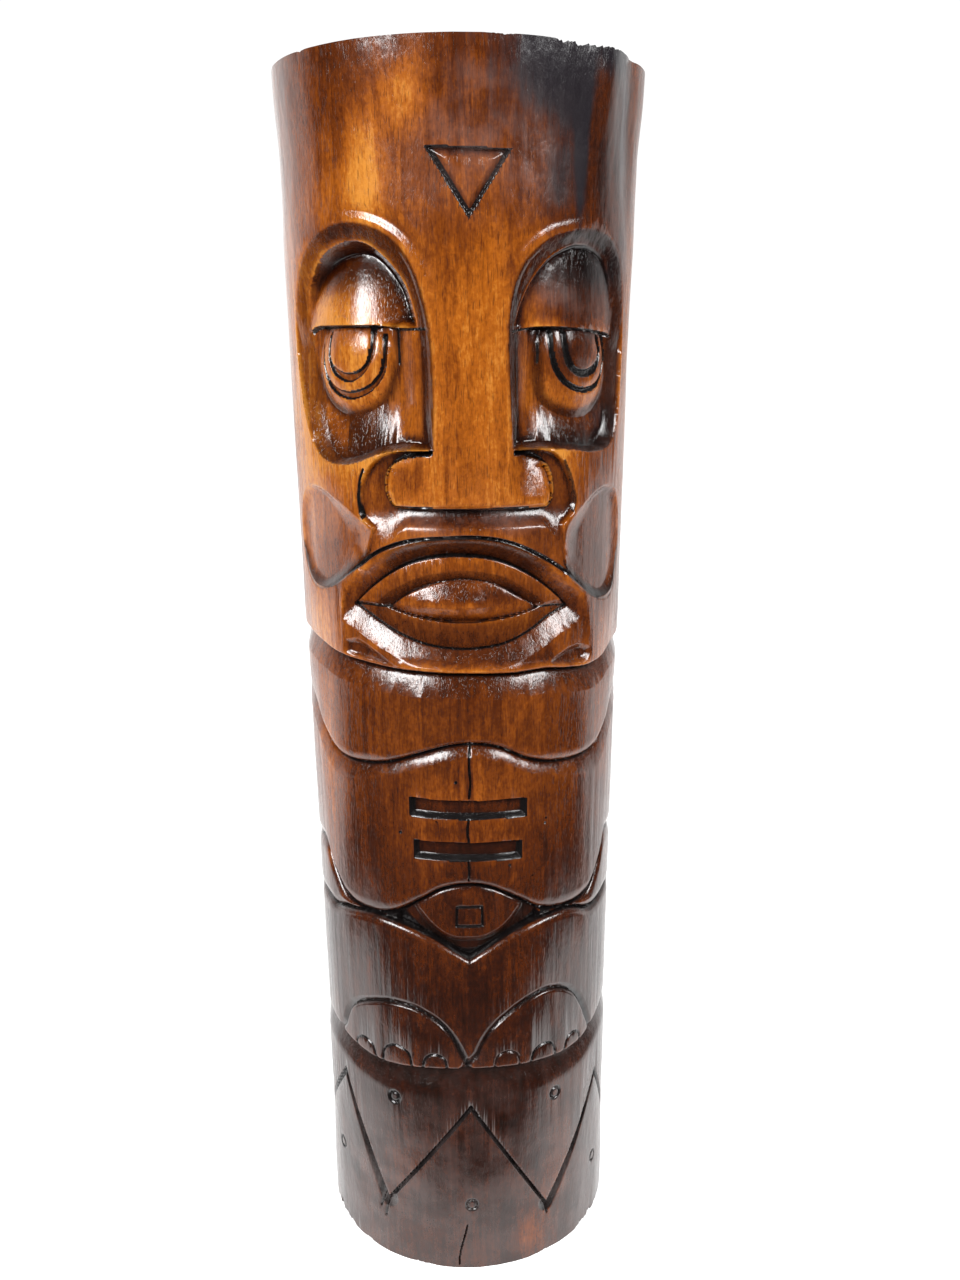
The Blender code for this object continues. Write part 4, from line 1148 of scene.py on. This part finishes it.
def varnishedWood():
    material = bpy.data.materials.new("varnishedWood")
    wire, shader = shaderOf(material, "Principled BSDF")
    end, stain, hollow = (wire.attribute(name) for name in ("end", "stain", "hollow"))
    # painted shade: the tone is darkened in hollows
    tone, relief, noises = wire.attribute("tone") - hollow * varnish["hollowShade"], 0.0, {}
    for name, (scale, detail, rough, warp, inTone, inRelief) in varnish["noises"].items():
        noises[name] = noise = wire.noise(scale, detail, rough, warp) - 0.5
        tone = tone + noise * inTone if inTone else tone
        relief = noise * inRelief + relief if inRelief else relief
    streak, fibre, mottle, grit = (noises[name] for name in ("streak", "fibre", "mottle", "grit"))
    pores = wire.noise(varnish["poreScale"], 1, 0.4, 0).step(0.60, 0.68)

    x, y = wire.node("TexCoord", output=3).axes()[:2]
    fromPith = ((x - varnish["pith"][0]) ** 2 + (y - varnish["pith"][1]) ** 2) ** 0.5
    years = (fromPith + noises["figure"] * 0.02 + mottle * 0.002) * (1 / varnish["ringWidth"])
    rings = years.math("PINGPONG", years, 0.5) * 2 - 0.5
    side = 1.0 - end
    sawn = rings * varnish["ringEndTone"] + grit * 0.2 + varnish["endTone"]
    tone = (tone + rings * varnish["ringTone"]) * side + sawn * end
    colour = wire.node("ValToRGB", {"stops": varnish["ramp"]}, {0: tone})
    colour = colour.tint(pores * side * varnish["poreTone"], varnish["pore"])
    char = (wire.attribute("char") + streak * 0.9 + mottle * 0.8).step(0.15, 1.0)
    colour = colour.tint(char, varnish["charcoal"])
    # painted shade: hollows and the carved shade field darken the colour
    paintedShade = (hollow + mottle * 0.4).step(0.4, 1.8, high=0.7)
    shade = wire.attribute("shade") * (streak * 0.5 + 1.0)
    colour = colour.tint(paintedShade.math("MAXIMUM", paintedShade, shade).clamp(), varnish["paintedShade"], "MULTIPLY")
    black = (stain + fibre * 0.35 + grit * 0.2).step(0.15, 0.62)
    colour = colour.tint(black, varnish["stainBlack"])
    # painted reflection: a pale veil tinted over the colour where the haze is
    haze = (wire.attribute("haze") * (mottle + streak * 0.5).step(-0.2, 0.2)).clamp()
    colour = colour.tint(haze * varnish["paintedVeilTone"], varnish["paintedVeil"])

    rough = stain * 0.04 + streak * 0.08 + grit * 0.08 + haze * 0.2 + end * 0.25 + varnish["roughness"]
    relief = relief - pores * varnish["poreDepth"]
    bump = wire.node("Bump", values={"Strength": varnish["bump"], "Distance": 0.0003, "Height": relief})
    wire.plug(shader, {"Base Color": colour, "Roughness": rough, "Normal": bump, "IOR": 1.5})
    return material


tiki = bpy.data.objects.new("tikiCarving", carvedLog())
scene.collection.objects.link(tiki)
print("log carved:", len(tiki.data.polygons), "triangles")
thinned(tiki)
print("thinned to", len(tiki.data.polygons), "triangles")
finishSkin(tiki.data)
tiki.data.materials.append(varnishedWood())
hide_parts("tiki_carving")
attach(tiki, "root")


studio = {
    "lens": 33.28,
    "eye": (-0.01052, -0.50406, 0.40308),
    "turn": (75.4062, 0.4317, -2.1860),
    # turn, rise, distance, width, height, watts
    "boxes": [(-44, 24, 3, 1.6, 0.8, 122), (54, 24, 3, 1.5, 0.8, 87)],
    "boxAim": 0.33,         # height that the boxes face, in metres
    "paper": (1.45, 0.80),  # brightness of the white paper to the left and right, as the varnish mirrors it
    "room": 0.03,           # brightness of the dark room in front
    "ceiling": 0.10,
    "fill": 0.40,           # plain light from all round
    "backdrop": 1.05,
    "floorGlow": 0.67,
    "floorColour": (0.92, 0.92, 0.92, 1),
    "flagColour": (0.02, 0.02, 0.02, 1),
    "flagHeight": 0.002,    # metres
    "cardHalf": 6,
    "paperFront": (0.08, 0.14),     # the paper on the floor fades into the dark room between these, in metres
    "paperSides": (0.25, 0.42),
    "paperBack": (-0.18, -0.02),
    "leftToRight": (-0.3, 0.6),     # where one brightness fades into the next, as parts of a unit direction
    "roomToPaper": (0.12, 0.5),
    "toCeiling": (0.45, 0.85),
}


def makeCard(name, look, height):
    bm = bmesh.new()
    bmesh.ops.create_grid(bm, x_segments=1, y_segments=1, size=studio["cardHalf"])
    bmesh.ops.translate(bm, vec=(0, 0, height), verts=bm.verts)
    mesh = bpy.data.meshes.new(name)
    bm.to_mesh(mesh)
    bm.free()
    card = bpy.data.objects.new(name, mesh)
    scene.collection.objects.link(card)
    material = bpy.data.materials.new(look)
    mesh.materials.append(material)
    return card, *shaderOf(material, "Principled BSDF")


def makeFloor():
    floor, wire, shader = makeCard("floor", "paleFloor", 0)
    wire.plug(shader, {"Base Color": studio["floorColour"], "Roughness": 0.7, "Emission Color": (1, 1, 1, 1),
                       "Emission Strength": studio["floorGlow"]})

    # the dark room round the paper, seen in the varnish only
    flag, wire, shader = makeCard("darkRoom", "darkRoom", studio["flagHeight"])
    for way in ("camera", "diffuse", "shadow", "transmission"):
        setattr(flag, "visible_" + way, False)
    x, y = wire.node("TexCoord", output=3).axes()[:2]
    front = (y * -1).step(*studio["paperFront"])
    sides = x.math("ABSOLUTE", x).step(*studio["paperSides"]) * (y * -1).step(*studio["paperBack"])
    wire.plug(shader, {"Base Color": studio["flagColour"], "Roughness": 1.0, "Specular IOR Level": 0.0,
                       "Alpha": front.math("MAXIMUM", front, sides)})


def makeLights():
    for turn, rise, away, width, height, watts in studio["boxes"]:
        lamp = bpy.data.lights.new("softBox", "AREA")
        lamp.shape = "RECTANGLE"
        lamp.size, lamp.size_y = width, height
        lamp.energy = watts
        box = bpy.data.objects.new("softBox", lamp)
        turn, rise = math.radians(turn), math.radians(rise)
        way = Vector((math.sin(turn) * math.cos(rise), -math.cos(turn) * math.cos(rise), math.sin(rise)))
        box.location = way * away + Vector((0, 0, studio["boxAim"]))
        box.rotation_euler = way.to_track_quat("Z", "Y").to_euler()
        scene.collection.objects.link(box)


def makeWorld():
    # the varnish mirrors white paper beside and behind it and a dark room in front; all else gets plain fill
    world = bpy.data.worlds.new("studio")
    scene.world = world
    wire, shader = shaderOf(world, "Background")
    x, y, up = wire.node("TexCoord").axes()
    left, right = studio["paper"]
    paper = x.step(*studio["leftToRight"]) * (right - left) + left
    mirrored = y.step(*studio["roomToPaper"]) * (paper - studio["room"]) + studio["room"]
    mirrored = mirrored + up.step(*studio["toCeiling"]) * (studio["ceiling"] - mirrored)
    camera, glossy = (wire.node("LightPath", output=ray) for ray in (0, 3))
    strength = glossy * (mirrored - studio["fill"]) + studio["fill"]
    strength = strength + camera * (studio["backdrop"] - strength)
    wire.plug(shader, {"Strength": strength, "Color": (1, 1, 1, 1)})


makeFloor()
makeWorld()
makeLights()
lens = bpy.data.cameras.new("camera")
lens.lens = studio["lens"]
camera = bpy.data.objects.new("camera", lens)
camera.location = studio["eye"]
camera.rotation_euler = [math.radians(v) for v in studio["turn"]]
scene.collection.objects.link(camera)
scene.camera = camera
scene.view_settings.view_transform = "Standard"
print("studio set")
